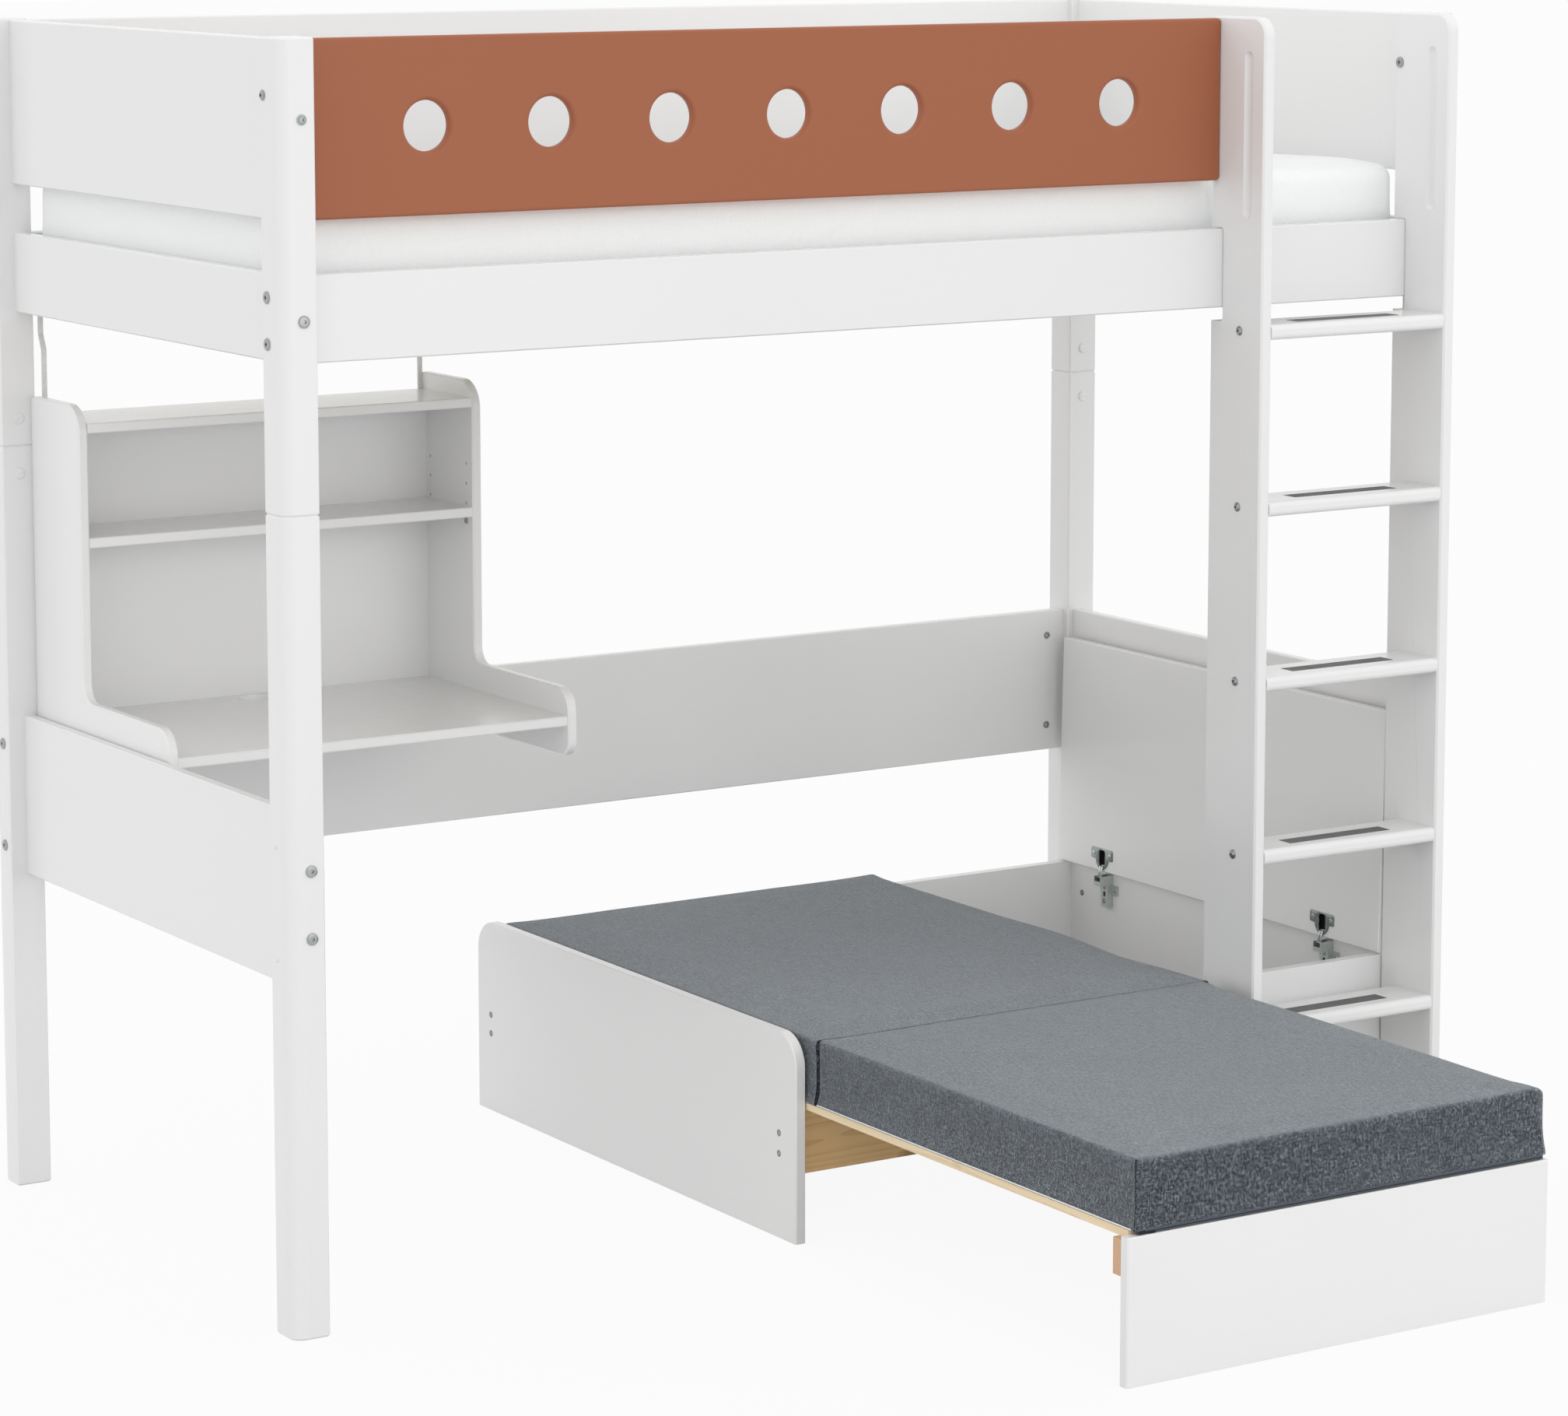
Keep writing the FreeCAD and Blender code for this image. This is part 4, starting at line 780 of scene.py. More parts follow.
def swollen_shape(piece, held):
    """Where the cloth solver carries the points of a closed mesh under pressure, some of them held."""
    piece.vertex_groups.new(name="held").add(held.tolist(), 1.0, "REPLACE")
    solver = piece.modifiers.new("Cloth", "CLOTH")
    for name, value in COVER_STIFFNESS.items():
        setattr(solver.settings, name, value)
    solver.settings.effector_weights.gravity = 0
    solver.settings.vertex_group_mass = "held"
    solver.point_cache.frame_start = 1
    solver.point_cache.frame_end = SOLVER_FRAMES
    for step in range(1, SOLVER_FRAMES + 1):
        scene.frame_set(step)
    swollen = coordinates(piece.evaluated_get(bpy.context.evaluated_depsgraph_get()).data)
    piece.modifiers.remove(solver)
    piece.vertex_groups.clear()
    scene.frame_set(1)
    return swollen


def blow_up(piece, base, cap, low, high):
    """Inflate a closed mesh with the cloth solver, its points below base held, and cap each point's travel
    with a hyperbolic tangent. The result is kept inside its room."""
    mesh = piece.data
    start = coordinates(mesh)
    final = start
    travel = swollen_shape(piece, np.flatnonzero(start[:, 2] < base)) - start
    length = np.linalg.norm(travel, axis=1)
    travel *= (np.tanh(length / cap) * cap / np.maximum(length, TINY))[:, None]
    print(piece.name, "largest travel", round(float(length.max()) * 1000, 1), "mm before the cap")
    final = start + travel
    final = np.clip(final, low, high)
    mesh.vertices.foreach_set("co", final.ravel())
    mesh.update()
    return in_bed(start), in_bed(final)


print("solver frames:", SOLVER_FRAMES)

# %% Helpers: map, refinement and shape of a cover
def lay_cover(mesh):
    """The cover's map in metres: each face is laid flat along the axis that it faces most."""
    count = len(mesh.polygons)
    normals = np.empty(count * 3)
    mesh.polygons.foreach_get("normal", normals)
    totals = np.empty(count, int)
    mesh.polygons.foreach_get("loop_total", totals)
    corner_of = np.empty(len(mesh.loops), int)
    mesh.loops.foreach_get("vertex_index", corner_of)
    place = coordinates(mesh)[corner_of]
    facing = np.repeat(np.abs(normals.reshape(-1, 3)).argmax(1), totals)
    flat = np.stack([np.where(facing == 0, place[:, 1], place[:, 0]),
                     np.where(facing == 2, place[:, 1], place[:, 2])], -1)
    laid = mesh.uv_layers.new(name="cover")
    laid.data.foreach_set("uv", flat.ravel())


def refine(piece):
    """One subdivision, the same in view and render."""
    smooth = piece.modifiers.new("Refine", "SUBSURF")
    smooth.levels = 1
    smooth.render_levels = 1


def set_shape(piece, points):
    """Move a cover's points, then drop the faces that pressing flat has left without area."""
    piece.data.vertices.foreach_set("co", from_bed(points).ravel())
    work = bmesh.new()
    work.from_mesh(piece.data)
    bmesh.ops.dissolve_degenerate(work, dist=1e-6, edges=work.edges)
    work.to_mesh(piece.data)
    work.free()


print("cover helpers ready")

# %% Mattresses
def mattress(name, node, body, finish, rounds, grow, cap, step, bulge=0.0):
    """A blown-up mattress that stands for a soft solid. Rounds are the edge radii of its left, right, front,
    back and top sides, and grow is how far the start shape reaches past the solid's box on each of them.
    Cap limits the travel, step is the grid's width and bulge lets the right side swell past the box."""
    low, high = (np.array(v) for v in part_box(node))
    start_low = in_bed(low) - (grow[0], grow[2], 0)
    start_high = in_bed(high) + (grow[1], grow[3], grow[4])
    round_low = np.array([rounds[0], rounds[2], 0.0])
    round_high = np.array([rounds[1], rounds[3], rounds[4]])
    shells = round_box(start_low, start_high, round_low, round_high, step)
    piece = make_piece(name, shells, body, finish, crisp=180)
    room = high + np.array([bulge / 1000, 0, 0])
    start, final = blow_up(piece, low[2] + 1e-4, cap / 1000, low, room)
    lay_cover(piece.data)
    refine(piece)
    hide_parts(node)
    core = start_low + round_low
    return {"piece": piece, "start": start, "final": final, "core": core, "rounds": round_low}


mattress("bed_mattress_cover", "bed_mattress", "bed", white_cover,
         rounds=(26, 26, 26, 26, 26), grow=(-4, -4, -4, -4, -7), cap=10, step=20)
rear_pad = mattress("sofa_mattress_rear_cover", "sofa_mattress_rear", "bed", grey_cover,
                    rounds=(6, 7, 8, 10, 9), grow=(1, 1, 12, -3, -5), cap=7, step=13)
front_pad = mattress("sofa_mattress_front_cover", "sofa_mattress_front", "folding_section",
                     grey_cover, rounds=(5, 26, 8, 8, 14), grow=(-2, 1, -1.5, 12, -5), cap=7, step=13,
                     bulge=6.0)

# %% [markdown]
# Along its right edge the rear cover is a little slack. Two bell curves along the pad, one up and one
# down, are added to its height; they fade out over a hand's breadth from the edge and towards the base.

# %% Slack edge of the rear section
SLACK = 3.2
SLACK_REACH = 75.0
SLACK_BELLS = ((0.42, 0.10, 1.0), (0.23, 0.09, -1.4))
rear_final = rear_pad["final"]
rear_low, rear_high = rear_final.min(0), rear_final.max(0)
along_pad, up_pad = ((rear_final - rear_low) / (rear_high - rear_low)).T[1:]
near_edge = np.exp(-((rear_high[0] - rear_final[:, 0]) / SLACK_REACH) ** 2) * up_pad ** 2
bells = sum(size * np.exp(-((along_pad - middle) / width) ** 2) for middle, width, size in SLACK_BELLS)
rear_final[:, 2] = np.minimum(rear_final[:, 2] + SLACK * near_edge * bells, rear_high[2])
set_shape(rear_pad["piece"], rear_final)
print("slack from", round(float((near_edge * bells).min()) * SLACK, 1), "mm to",
      round(float((near_edge * bells).max()) * SLACK, 1), "mm")

# %% [markdown]
# Sewing. The covers are joined panel to panel: a dark seam runs up the front left corner and up both
# sides of the fold, and a zigzag holds the two sections together along the top of the fold. Seams are
# thin yarns: a round section carried along points that are read from the blown-up covers. The corner
# itself is drawn in by a millimetre where its seam pulls.

# %% Helper: a section carried along a path
def full_turn(sides):
    """Even directions once round."""
    return np.linspace(0, 2 * math.pi, sides, endpoint=False)


def rounded_slot(angle, half_width, half_height, power=5.0):
    """Radius of a rounded rectangle in a direction, as a superellipse."""
    across, up = np.abs(np.cos(angle) / half_width), np.abs(np.sin(angle) / half_height)
    return (across ** power + up ** power) ** (-1 / power)


def section(half_width, half_height, power=2.0, sides=10):
    """A closed outline across a path: an ellipse for power two, squarer for more."""
    angle = full_turn(sides)
    return rounded_slot(angle, half_width, half_height, power)[:, None] * rays(angle)


def carry(path, outline, side):
    """The outline at every point of a path, its width laid along side and its height across side and path;
    both ends close to a point."""
    path = np.asarray(path, float)
    along = np.gradient(path, axis=0)
    along /= np.linalg.norm(along, axis=1)[:, None]
    up = np.cross(along, np.broadcast_to(np.asarray(side, float), path.shape))
    up /= np.linalg.norm(up, axis=1)[:, None]
    across = np.cross(up, along)
    rings = path[:, None] + outline[None, :, :1] * across[:, None] + outline[None, :, 1:] * up[:, None]
    close = np.broadcast_to(path[[0, -1], None], (2, *rings.shape[1:]))
    rings = np.concatenate([close[:1], rings, close[1:]])
    return rings.reshape(-1, 3), grid_faces(len(rings), len(outline), wrap_columns=True)


THREAD = section(0.9, 0.9)
print("thread section:", len(THREAD), "points")

# %% Corner and fold seams
FOLD_FRONT, FOLD_REAR = 7.25, 8.75
CORNER_PULL = 0.8
SIDE_BAND = 11.0
share = (front_pad["core"] - front_pad["start"])[:, :2] / front_pad["rounds"][:2]
column = np.flatnonzero((np.abs(share[:, 0] - share[:, 1]) < 1e-3) & (share[:, 0] > 0.4))
column = column[np.argsort(front_pad["start"][column, 2])]
corner_path = front_pad["final"][column]
drawn_in = front_pad["final"].copy()
drawn_in[column] += (CORNER_PULL, CORNER_PULL, 0)
set_shape(front_pad["piece"], drawn_in)


def extreme_line(pad, fold, along, best, band):
    """Edge of a pad's flat fold end: of the points on the fold, the most extreme in each band along an
    axis."""
    spots = pad["final"][np.abs(pad["final"][:, 1] - fold) < 0.05]
    number = np.floor((spots[:, along] - spots[:, along].min()) / band)
    order = np.lexsort((spots @ np.asarray(best, float), number))
    return spots[order][np.unique(number[order], return_index=True)[1]]


front_side = extreme_line(front_pad, FOLD_FRONT, 2, RIGHT, SIDE_BAND)
rear_side = extreme_line(rear_pad, FOLD_REAR, 2, RIGHT, SIDE_BAND)
corner_seam = carry(corner_path + (0.35, 0.35, 0), THREAD, (1, -1, 0))
front_seam, rear_seam = (carry(side + (0.1, 0, 0), THREAD, BACK) for side in (front_side, rear_side))
make_piece("front_pad_seams", [corner_seam, front_seam], "folding_section", seam_thread)
make_piece("rear_pad_seam", [rear_seam], "bed", seam_thread)

# %% Zigzag over the fold
STITCH = 3.1
STITCH_HALF = 1.9
TOP_BAND = 16.0
front_top = extreme_line(front_pad, FOLD_FRONT, 0, (0, 0, -1), TOP_BAND)
rear_top = extreme_line(rear_pad, FOLD_REAR, 0, (0, 0, -1), TOP_BAND)
ends = max(front_top[0, 0], rear_top[0, 0]) + 2, min(front_top[-1, 0], rear_top[-1, 0]) - 2
stitch_x = np.arange(*ends, STITCH)
stitch_z = np.maximum(*(np.interp(stitch_x, top[:, 0], top[:, 2]) for top in (front_top, rear_top)))
stitch_side = STITCH_HALF * np.where(np.arange(len(stitch_x)) % 2, 1, -1)
fold_middle = (FOLD_FRONT + FOLD_REAR) / 2
zigzag = points_of(stitch_x, fold_middle + stitch_side, stitch_z + 0.45)
bridge = points_of(stitch_x, fold_middle, stitch_z - 0.5)
fold_shells = [carry(zigzag, section(0.42, 0.34, 2.0, 6), BACK),
               carry(bridge, section(1.5, 0.3, 3.0, 8), BACK)]
fold_seam = make_piece("fold_seam", fold_shells, None, fold_thread)
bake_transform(fold_seam)

# %% [markdown]
# Along the front foot of the folding section runs a zip: a narrow tape above and a flap below, with the
# dark coil between them, and its slider and pull at the left end. Its white lining just shows under the
# long sides.

# %% Zip and lining
ZIP_HEIGHT = 216.0
LINING_HEIGHT = 220.05
pad_left, pad_front = (front_pad["core"] - front_pad["rounds"])[:2]
pad_right = front_pad["final"][:, 0].max() - 1
zip_x = np.linspace(pad_left + 5, pad_right - 12, 60)


def zip_line(rise, inset):
    """A straight line along the front foot, a little lower at the slider's end."""
    sag = -0.4 * np.exp(-((zip_x - zip_x[0]) / 60) ** 2)
    return points_of(zip_x, pad_front + inset, ZIP_HEIGHT + rise + sag)


def zip_piece(name, shells, finish):
    """A part of the zip, riding on the folding section."""
    make_piece(name, shells, "folding_section", finish)


zip_piece("zip_tape", [carry(zip_line(2.5, 1.2), section(1.5, 1.5, 3.0, 12), BACK),
                       carry(zip_line(-0.8, 0.9), section(1.7, 1.1, 3.0, 12), BACK)], zip_tape)
zip_piece("zip_coil", [carry(zip_line(0.7, 1.5), section(1.2, 0.8, 2.0, 8), BACK)], zip_coil)
run = np.linspace(0, 1, 7)
slider = points_of(zip_x[0] + 2 + 11 * run, pad_front + 0.2, ZIP_HEIGHT + 0.4)
pull_y = pad_front - 0.9 - 0.2 * np.sin(math.pi * run)
pull = points_of(zip_x[0] + 8 + 22 * run, pull_y, ZIP_HEIGHT - 1.2 * run)
zip_piece("zip_slider", [carry(slider, section(1.9, 2.2, 4.0, 14), BACK),
                         carry(pull, section(0.6, 1.5, 4.0, 12), BACK)], zip_coil)
lining_y = np.linspace(pad_front + 9, FOLD_FRONT - 3, 40)
lining_shells = [carry(points_of(x, lining_y, LINING_HEIGHT), section(0.8, 1.1, 3.0, 10), RIGHT)
                 for x in (pad_left - 0.1, pad_right + 0.1)]
make_piece("pad_lining", lining_shells, "folding_section", lining_cloth)

# %% [markdown]
# The two battens of the pull-out are sawn pine with eased edges. The front one shows its end grain beside
# the front board, so its left end is brought out to within a finger's breadth of the board's own end.

# %% Battens of the pull-out
BATTEN_EASE = 1.4
BATTEN_REVEAL = 2.0
BATTEN_STEP = 50
REAR_BATTEN = np.array([748.5, 20.0, 30.0])
board_low, _ = bed_box("guest_front")
batten_low, batten_high = bed_box("guest_battens")
front_from = np.array([board_low[0] + BATTEN_REVEAL, batten_low[1], batten_low[2]])
front_to = np.array([batten_high[0], batten_low[1] + REAR_BATTEN[1], batten_high[2]])
rear_from = np.array([batten_low[0], *(batten_high - REAR_BATTEN)[1:]])
rear_to = np.array([batten_low[0] + REAR_BATTEN[0], *batten_high[1:]])
ease = np.full(3, BATTEN_EASE)
batten_shells = [shell for start, end in ((front_from, front_to), (rear_from, rear_to))
                 for shell in round_box(start, end, ease, ease, BATTEN_STEP)]
battens = make_piece("batten_boards", batten_shells, "guest_bed", batten_pine)
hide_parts("guest_battens")

# %% [markdown]
# Bolts: a flat zinc disc with a soft rim and a small hexagon socket. The turned profile is a ring of
# radii and heights, carried once round; the innermost rings swap the circle for a hexagon. The guard
# bolts are smaller and domed. Countersunk screws are the same shape with almost no height.

# %% Helper: turned heads with a socket
def axes_for(outward):
    """Two unit vectors across a direction, and the direction itself, as rows."""
    out = np.asarray(outward, float) / np.linalg.norm(outward)
    side = np.cross((0, 0, 1), out) if abs(out[2]) < 0.9 else np.array([1.0, 0, 0])
    side = side / np.linalg.norm(side)
    return np.stack([side, np.cross(out, side), out])


def hexagon(angle):
    """Radius of a hexagon of corner radius one in a direction."""
    return math.cos(math.pi / 6) / np.cos((angle % (math.pi / 3)) - math.pi / 6)


def cross_slot(angle):
    """Radius of a four-armed driver recess of reach one in a direction."""
    return 0.32 + 0.68 * np.abs(np.cos(2 * angle)) ** 6


def solid_disc(angle):
    """A plain circle, for a head that needs no socket."""
    return np.ones_like(angle)


def turned_rings(rings, height):
    """Points of rings of radii, each ring at its height: across, up and out."""
    angle = full_turn(rings.shape[1])
    return points_of(rings * np.cos(angle), rings * np.sin(angle), height[:, None]).reshape(-1, 3)


def turned_head(places, outward, profile, socket, reach, sink, sides=28):
    """Profile of radius and height carried round each place, flat behind, with a socket of given reach and
    depth."""
    radius, height = np.array(profile, float).T
    rings = np.tile(radius[:, None], (1, sides))
    shape = socket(full_turn(sides))[None] * reach
    rings = np.concatenate([rings[:1] * 0.0, rings, shape * 1.04, shape * 0.94, shape * 0.9, shape * 0.0])
    top = height[-1]
    height = np.concatenate([height[:1], height, [top, top - sink * 0.5, top - sink, top - sink]])
    turned = turned_rings(rings, height) @ axes_for(outward)
    faces = grid_faces(*rings.shape, wrap_columns=True)
    return [(turned + np.asarray(place, float), faces) for place in places]


print("sockets:", hexagon.__name__, cross_slot.__name__, solid_disc.__name__)

# %% Bolts, screws and barrel nuts
DISC = ((8.6, -0.4), (8.8, 0.3), (8.8, 1.3), (8.5, 2.0), (7.7, 2.4), (5.2, 2.6))
DOME = ((7.6, -0.4), (7.8, 0.4), (7.5, 1.0), (6.5, 1.1), (6.0, 1.2), (5.7, 2.4), (4.9, 3.2), (3.8, 3.6))
FLUSH = ((5.4, -0.4), (5.4, 0.25), (5.0, 0.45), (3.4, 0.45))
NUT = ((6.4, -0.4), (6.4, 0.5), (6.1, 0.8), (4.4, 0.8))
DISC_BOLT = (DISC, hexagon, 2.9, 2.0)
DOME_BOLT = (DOME, hexagon, 2.5, 2.2)
FLUSH_SCREW = (FLUSH, cross_slot, 2.9, 1.4)
BARREL_NUT = (NUT, cross_slot, 3.6, 1.5)
LENGTH, WIDTH, POST = 2096.0, 1025.0, 57.0
RAIL_BOLT_Z, PANEL_BOLT_Z = (1417.0, 1482.0), (547.0, 709.0)
END_GUARD_Z, LONG_GUARD_Z = 1761.0, 1728.0
LONG_RAIL_Z = 1449.5
LADDER_SIDES = ((1651.0, LEFT), (2039.0, RIGHT))
RUNG_BOLT_Z = 248.0 + 276.7 * np.arange(5)
bolt_shells = []
for x, outward in ((0.0, LEFT), (LENGTH, RIGHT)):
    rail_places = [(x, y, z) for y in (41.0, 984.0) for z in RAIL_BOLT_Z]
    panel_places = [(x, 989.0, z) for z in PANEL_BOLT_Z]
    bolt_shells += turned_head(rail_places + panel_places, outward, *DISC_BOLT)
    bolt_shells += turned_head([(x, y, END_GUARD_Z) for y in (45.0, 989.0)], outward, *DOME_BOLT)
for y, outward in ((0.0, FRONT), (WIDTH, BACK)):
    for x in (36.0, LENGTH - 36.0):
        bolt_shells += turned_head([(x, y, z) for z in (LONG_RAIL_Z, 676.5, 579.5)], outward, *DISC_BOLT)
        bolt_shells += turned_head([(x, y, LONG_GUARD_Z)], outward, *DOME_BOLT)
for x, outward in LADDER_SIDES:
    bolt_shells += turned_head([(x, -18.0, z) for z in RUNG_BOLT_Z], outward, *DOME_BOLT)
bolt_shells += turned_head([(2018.0, 46.0, END_GUARD_Z)], LEFT, *DISC_BOLT)
make_piece("frame_bolts", bolt_shells, "bed", zinc)

sofa_screws = [(862.0, y, z) for y in (78.0, 978.0) for z in (132.0, 164.0)]
screw_shells = turned_head([*sofa_screws, (2030.0, 905.0, 250.5)], LEFT, *FLUSH_SCREW)
make_piece("board_screws", screw_shells, "bed", dull_zinc)
nut_places = [(x, y, z) for x in (94.0, LENGTH - 94.0)
              for y, z in ((980.0, 547.0), (980.0, 709.0), (980.0, LONG_GUARD_Z), (970.0, LONG_RAIL_Z))]
make_piece("barrel_nuts", turned_head(nut_places, FRONT, *BARREL_NUT), "bed", zinc)

# %% [markdown]
# White plastic closes the holes that this set-up does not use: shallow domed caps on the inner faces
# of the posts either side of the split, and small plugs on the front posts where end panels could go.

# %% Caps and plugs
CAP = ((9.0, -0.4), (9.2, 0.5), (8.8, 1.1), (7.4, 1.6), (4.8, 1.9), (2.4, 2.0))
PLUG = ((4.0, -0.3), (4.1, 0.3), (3.7, 0.7), (2.4, 0.9), (1.2, 0.95))
CAP_Z = (1136.0, 1222.0)
cap_shells = []
for x in (POST / 2, LENGTH - POST / 2):
    for y, outward in ((WIDTH - POST, FRONT), (POST, BACK)):
        cap_shells += turned_head([(x, y, z) for z in CAP_Z], outward, CAP, solid_disc, 1.0, 0.0)
for x, outward in ((0.0, LEFT), (LENGTH, RIGHT)):
    cap_shells += turned_head([(x, 38.0, z) for z in PANEL_BOLT_Z], outward, PLUG, solid_disc, 0.5, 0.0)
make_piece("cover_caps", cap_shells, "bed", white_plastic)

# %% [markdown]
# The concealed hinges. The solids carry the working geometry: cup and pin in the lid, bent link, arm
# and mounting plate on the box. What the eye knows them by is added here: the pressed cup plate with
# round corners and its lobe, the black insert, the link as two bright bars, the screws, the adjusting
# screws, and black sheets of painted shade for the dark slot in the arm and the dark crescents round
# the adjusting screws. The lid leans back by 1.3 degrees, so its hardware is laid out
# along the lid: depth into it, place across it, height up it.

# %% Hinge plates
LEAN = math.radians(1.3)
LID_FRONT = 57.5
HINGE_LINES = (146.0, 764.0)
CUP_HEIGHT = 22.0
SLOT_RISE = 1.0
SLOT_HALF = (9.0, 15.0)
PLATE_CORNER = 3.5
LOBE_RADIUS = 18.4
plate_low, plate_high = np.array([-31.5, -1 - SLOT_RISE]), np.array([31.5, 19 - SLOT_RISE])
lid_foot = np.array([2012.4, LID_FRONT, 306.0])
lid_axes = np.array([[math.cos(LEAN), 0, -math.sin(LEAN)], [0, 1, 0], [math.sin(LEAN), 0, math.cos(LEAN)]])


def on_lid(points):
    """From depth, place across and height along the lid to the joiner's millimetres."""
    return lid_foot + np.asarray(points, float) @ lid_axes


def plate_outline(ray):
    """Reach of the cup plate from the slot's middle: the farther of the cup's circle and a rectangle with
    round corners that stands above it."""
    spots = ray * to_border(ray, plate_low, plate_high)[:, None]
    spots, _ = round_corners(spots, plate_low, plate_high, PLATE_CORNER)
    drop = -SLOT_RISE * ray[:, 1]
    circle = drop + np.sqrt(LOBE_RADIUS ** 2 - SLOT_RISE ** 2 + drop ** 2)
    farther = np.linalg.norm(spots, axis=1) > circle
    return np.where(farther[:, None], spots, ray * circle[:, None])


def cup_plate(line):
    """Rings from the slot's rim, turned down into the cup, over the raised plate to its outline and edge.
    Extra rays fan out round the plate's corners."""
    aims = np.array([(x, z) for x in (plate_low[0], plate_high[0]) for z in (plate_low[1], plate_high[1])])
    fan = np.arctan2(aims[:, 1], aims[:, 0])[:, None] + np.linspace(-0.13, 0.13, 9)
    even = np.linspace(-math.pi, math.pi, 120, endpoint=False)
    angle = np.unique(np.concatenate([even, fan.ravel()]).round(9))
    ray = rays(angle)
    rim = ray * rounded_slot(angle, *SLOT_HALF)[:, None]
    edge = plate_outline(ray)
    soft = edge - 0.5 * edge / np.linalg.norm(edge, axis=1)[:, None]
    flat = np.stack([rim, rim, rim + 0.7 * ray, rim + (soft - rim) * 0.5, soft, edge, edge])
    depth = np.array([1.5, -1.0, -1.6, -1.4, -1.4, -1.0, 0.0])
    points = points_of(depth[:, None], line + flat[..., 0], CUP_HEIGHT + SLOT_RISE + flat[..., 1])
    return on_lid(points.reshape(-1, 3)), grid_faces(*flat.shape[:2], wrap_rows=True, wrap_columns=True)


plate_shells = [cup_plate(line) for line in HINGE_LINES]
plates = make_piece("hinge_plates", plate_shells, "lid", nickel, crisp=60)
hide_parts("hinge_cups")

# %% Hinge inserts and flange screws
PAN = ((3.6, -0.3), (3.7, 0.3), (3.4, 0.8), (2.6, 1.1), (1.9, 1.15))
INSERT_GROW = 0.3
FLANGE_DEPTH, FLANGE_HALF, FLANGE_HEIGHT = -1.4, 23.5, 31.0


def tray(rim, scales, depth, place):
    """A closed tray: a rim scaled ring by ring, each ring at its depth, set at a place and facing left."""
    rings = rim[None] * np.array(scales)[:, None]
    points = turned_rings(rings, np.array(depth))[:, [2, 0, 1]] + np.array(place)
    return points, grid_faces(*rings.shape, wrap_columns=True)


def cup_insert(line):
    """A black tray under the slot: a closed cup whose inner walls follow the slot down to a flat bottom."""
    rim = rounded_slot(full_turn(48), SLOT_HALF[0] + INSERT_GROW, SLOT_HALF[1] + INSERT_GROW)
    points, faces = tray(rim, (0.0, 1.02, 1.02, 1.0, 0.97, 0.9, 0.5, 0.0),
                         (9.6, 9.6, -0.7, -0.7, 7.2, 8.6, 9.0, 9.0), (0, line, CUP_HEIGHT + SLOT_RISE))
    return on_lid(points), faces


make_piece("hinge_inserts", [cup_insert(line) for line in HINGE_LINES], "lid", black_plastic)
flange_places = on_lid([(FLANGE_DEPTH, line + side, FLANGE_HEIGHT) for line in HINGE_LINES
                        for side in (-FLANGE_HALF, FLANGE_HALF)])
make_piece("hinge_flange_screws", turned_head(flange_places, -lid_axes[0], PAN, cross_slot, 1.7, 0.9),
           "lid", polished)

# %% [markdown]
# Each link is a pair of bars with a groove between them. They leave the cup square to the lid, turn over
# its edge and end at the pin in the arm's nose; short barrels go round both pins. The bars follow the
# solid's own centre line, with its two corners rounded by a spline through the middles of its runs.

# %% Hinge links
LINK_LINE = np.array([(2016.61, 315.41), (2010.12, 315.55), (2007.24, 299.12), (2010.10, 295.56)])
BAR_OFFSET = 2.75
BARREL_HALF = 5
link_bar, link_barrel = section(2.2, 1.0, 3.5, 16), section(2.5, 2.5, 2.0, 18)


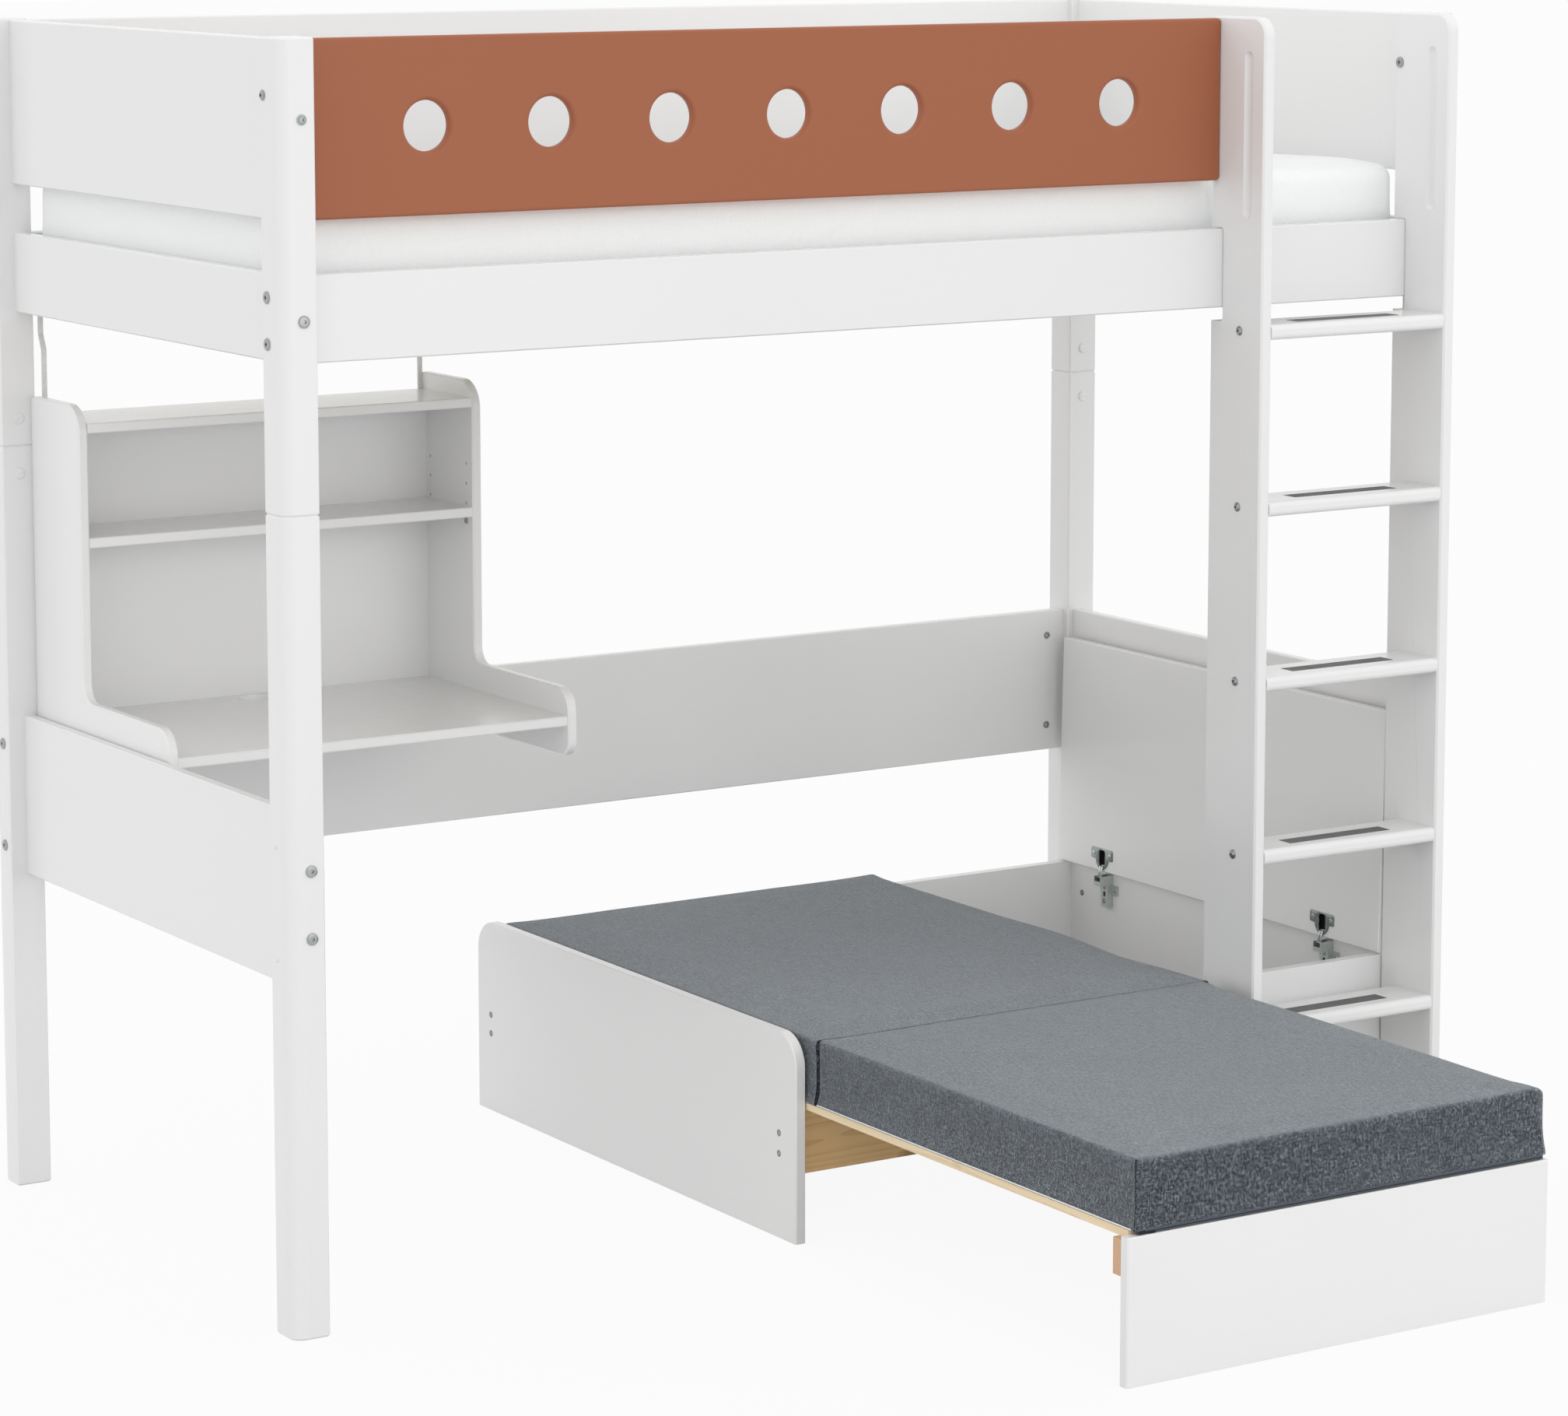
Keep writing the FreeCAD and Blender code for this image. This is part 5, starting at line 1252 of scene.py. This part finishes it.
def rounded_line(corners, steps=9):
    """A smooth path through a run of corners: quadratic curves that start and end at the middles of the
    runs."""
    middles = (corners[:-1] + corners[1:]) / 2
    t = np.linspace(0, 1, steps)[:, None]
    bends = [(1 - t) ** 2 * a + 2 * t * (1 - t) * b + t ** 2 * c
             for a, b, c in zip(middles[:-1], corners[1:-1], middles[1:])]
    runs = np.concatenate([corners[:1], *bends, corners[-1:]])
    keep = np.concatenate([[True], np.linalg.norm(np.diff(runs, axis=0), axis=1) > 1e-6])
    return runs[keep]


link_x, link_z = rounded_line(LINK_LINE).T
arm_y = LID_FRONT + np.array(HINGE_LINES)
link_shells = []
for y in arm_y:
    link_shells += [carry(points_of(link_x, y + side, link_z), link_bar, BACK)
                    for side in (-BAR_OFFSET, BAR_OFFSET)]
    link_shells += [carry(points_of(x, y + np.linspace(-BARREL_HALF, BARREL_HALF, 5), z), link_barrel, RIGHT)
                    for x, z in LINK_LINE[[0, -1]]]
links = make_piece("hinge_link_bars", link_shells, "lid_links", polished, crisp=50)
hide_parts("hinge_links")

# %% Hinge arms: screws, and painted shade in the slot and round the adjusting screws
ARM_FACE, PLATE_FACE = 2018.0, 2028.0
PLATE_SCREW_HALF, PLATE_SCREW_Z = 19.5, 272.0
ADJUSTER = ((2.7, -0.2), (2.8, 0.15), (2.5, 0.4), (1.9, 0.45))
ADJUSTER_Z = (252.5, 276.0)
# Painted shade: black pockets for the dark slot and for the dark crescents round both adjusting screws; each
# row is shift across, height, half width, half height and squareness.
SHADE_POCKETS = ((0.0, 265.0, 3.0, 4.2, 5.0), (0.6, 252.2, 3.9, 4.2, 2.0), (0.0, 276.0, 3.3, 3.1, 2.0))
plate_places = [(PLATE_FACE, y + side, PLATE_SCREW_Z) for y in arm_y
                for side in (-PLATE_SCREW_HALF, PLATE_SCREW_HALF)]
make_piece("hinge_plate_screws", turned_head(plate_places, LEFT, PAN, cross_slot, 1.9, 0.9),
           "bed", polished)
adjuster_places = [(ARM_FACE, y, z) for y in arm_y for z in ADJUSTER_Z]
make_piece("hinge_adjusters", turned_head(adjuster_places, LEFT, ADJUSTER, cross_slot, 1.7, 0.6),
           "bed", polished)


def arm_shade_pocket(y, z, half_width, half_height, power):
    """Painted shade in the arm's face: a black tray whose rim stands a little proud and drops to a flat
    bottom a fraction of a millimetre down, standing in for the shade in the slot or round a screw.
    """
    rim = rounded_slot(full_turn(32), half_width, half_height, power)
    return tray(rim, (0.0, 1.06, 1.03, 0.97, 0.5, 0.0), (0.05, 0.05, -0.22, -0.16, -0.14, -0.14),
                (ARM_FACE, y, z))


# Black sheets of painted shade on both arms.
shade_pockets = [arm_shade_pocket(y + aside, *form) for y in arm_y for aside, *form in SHADE_POCKETS]
make_piece("hinge_arm_painted_shade", shade_pockets, "bed", black_plastic)
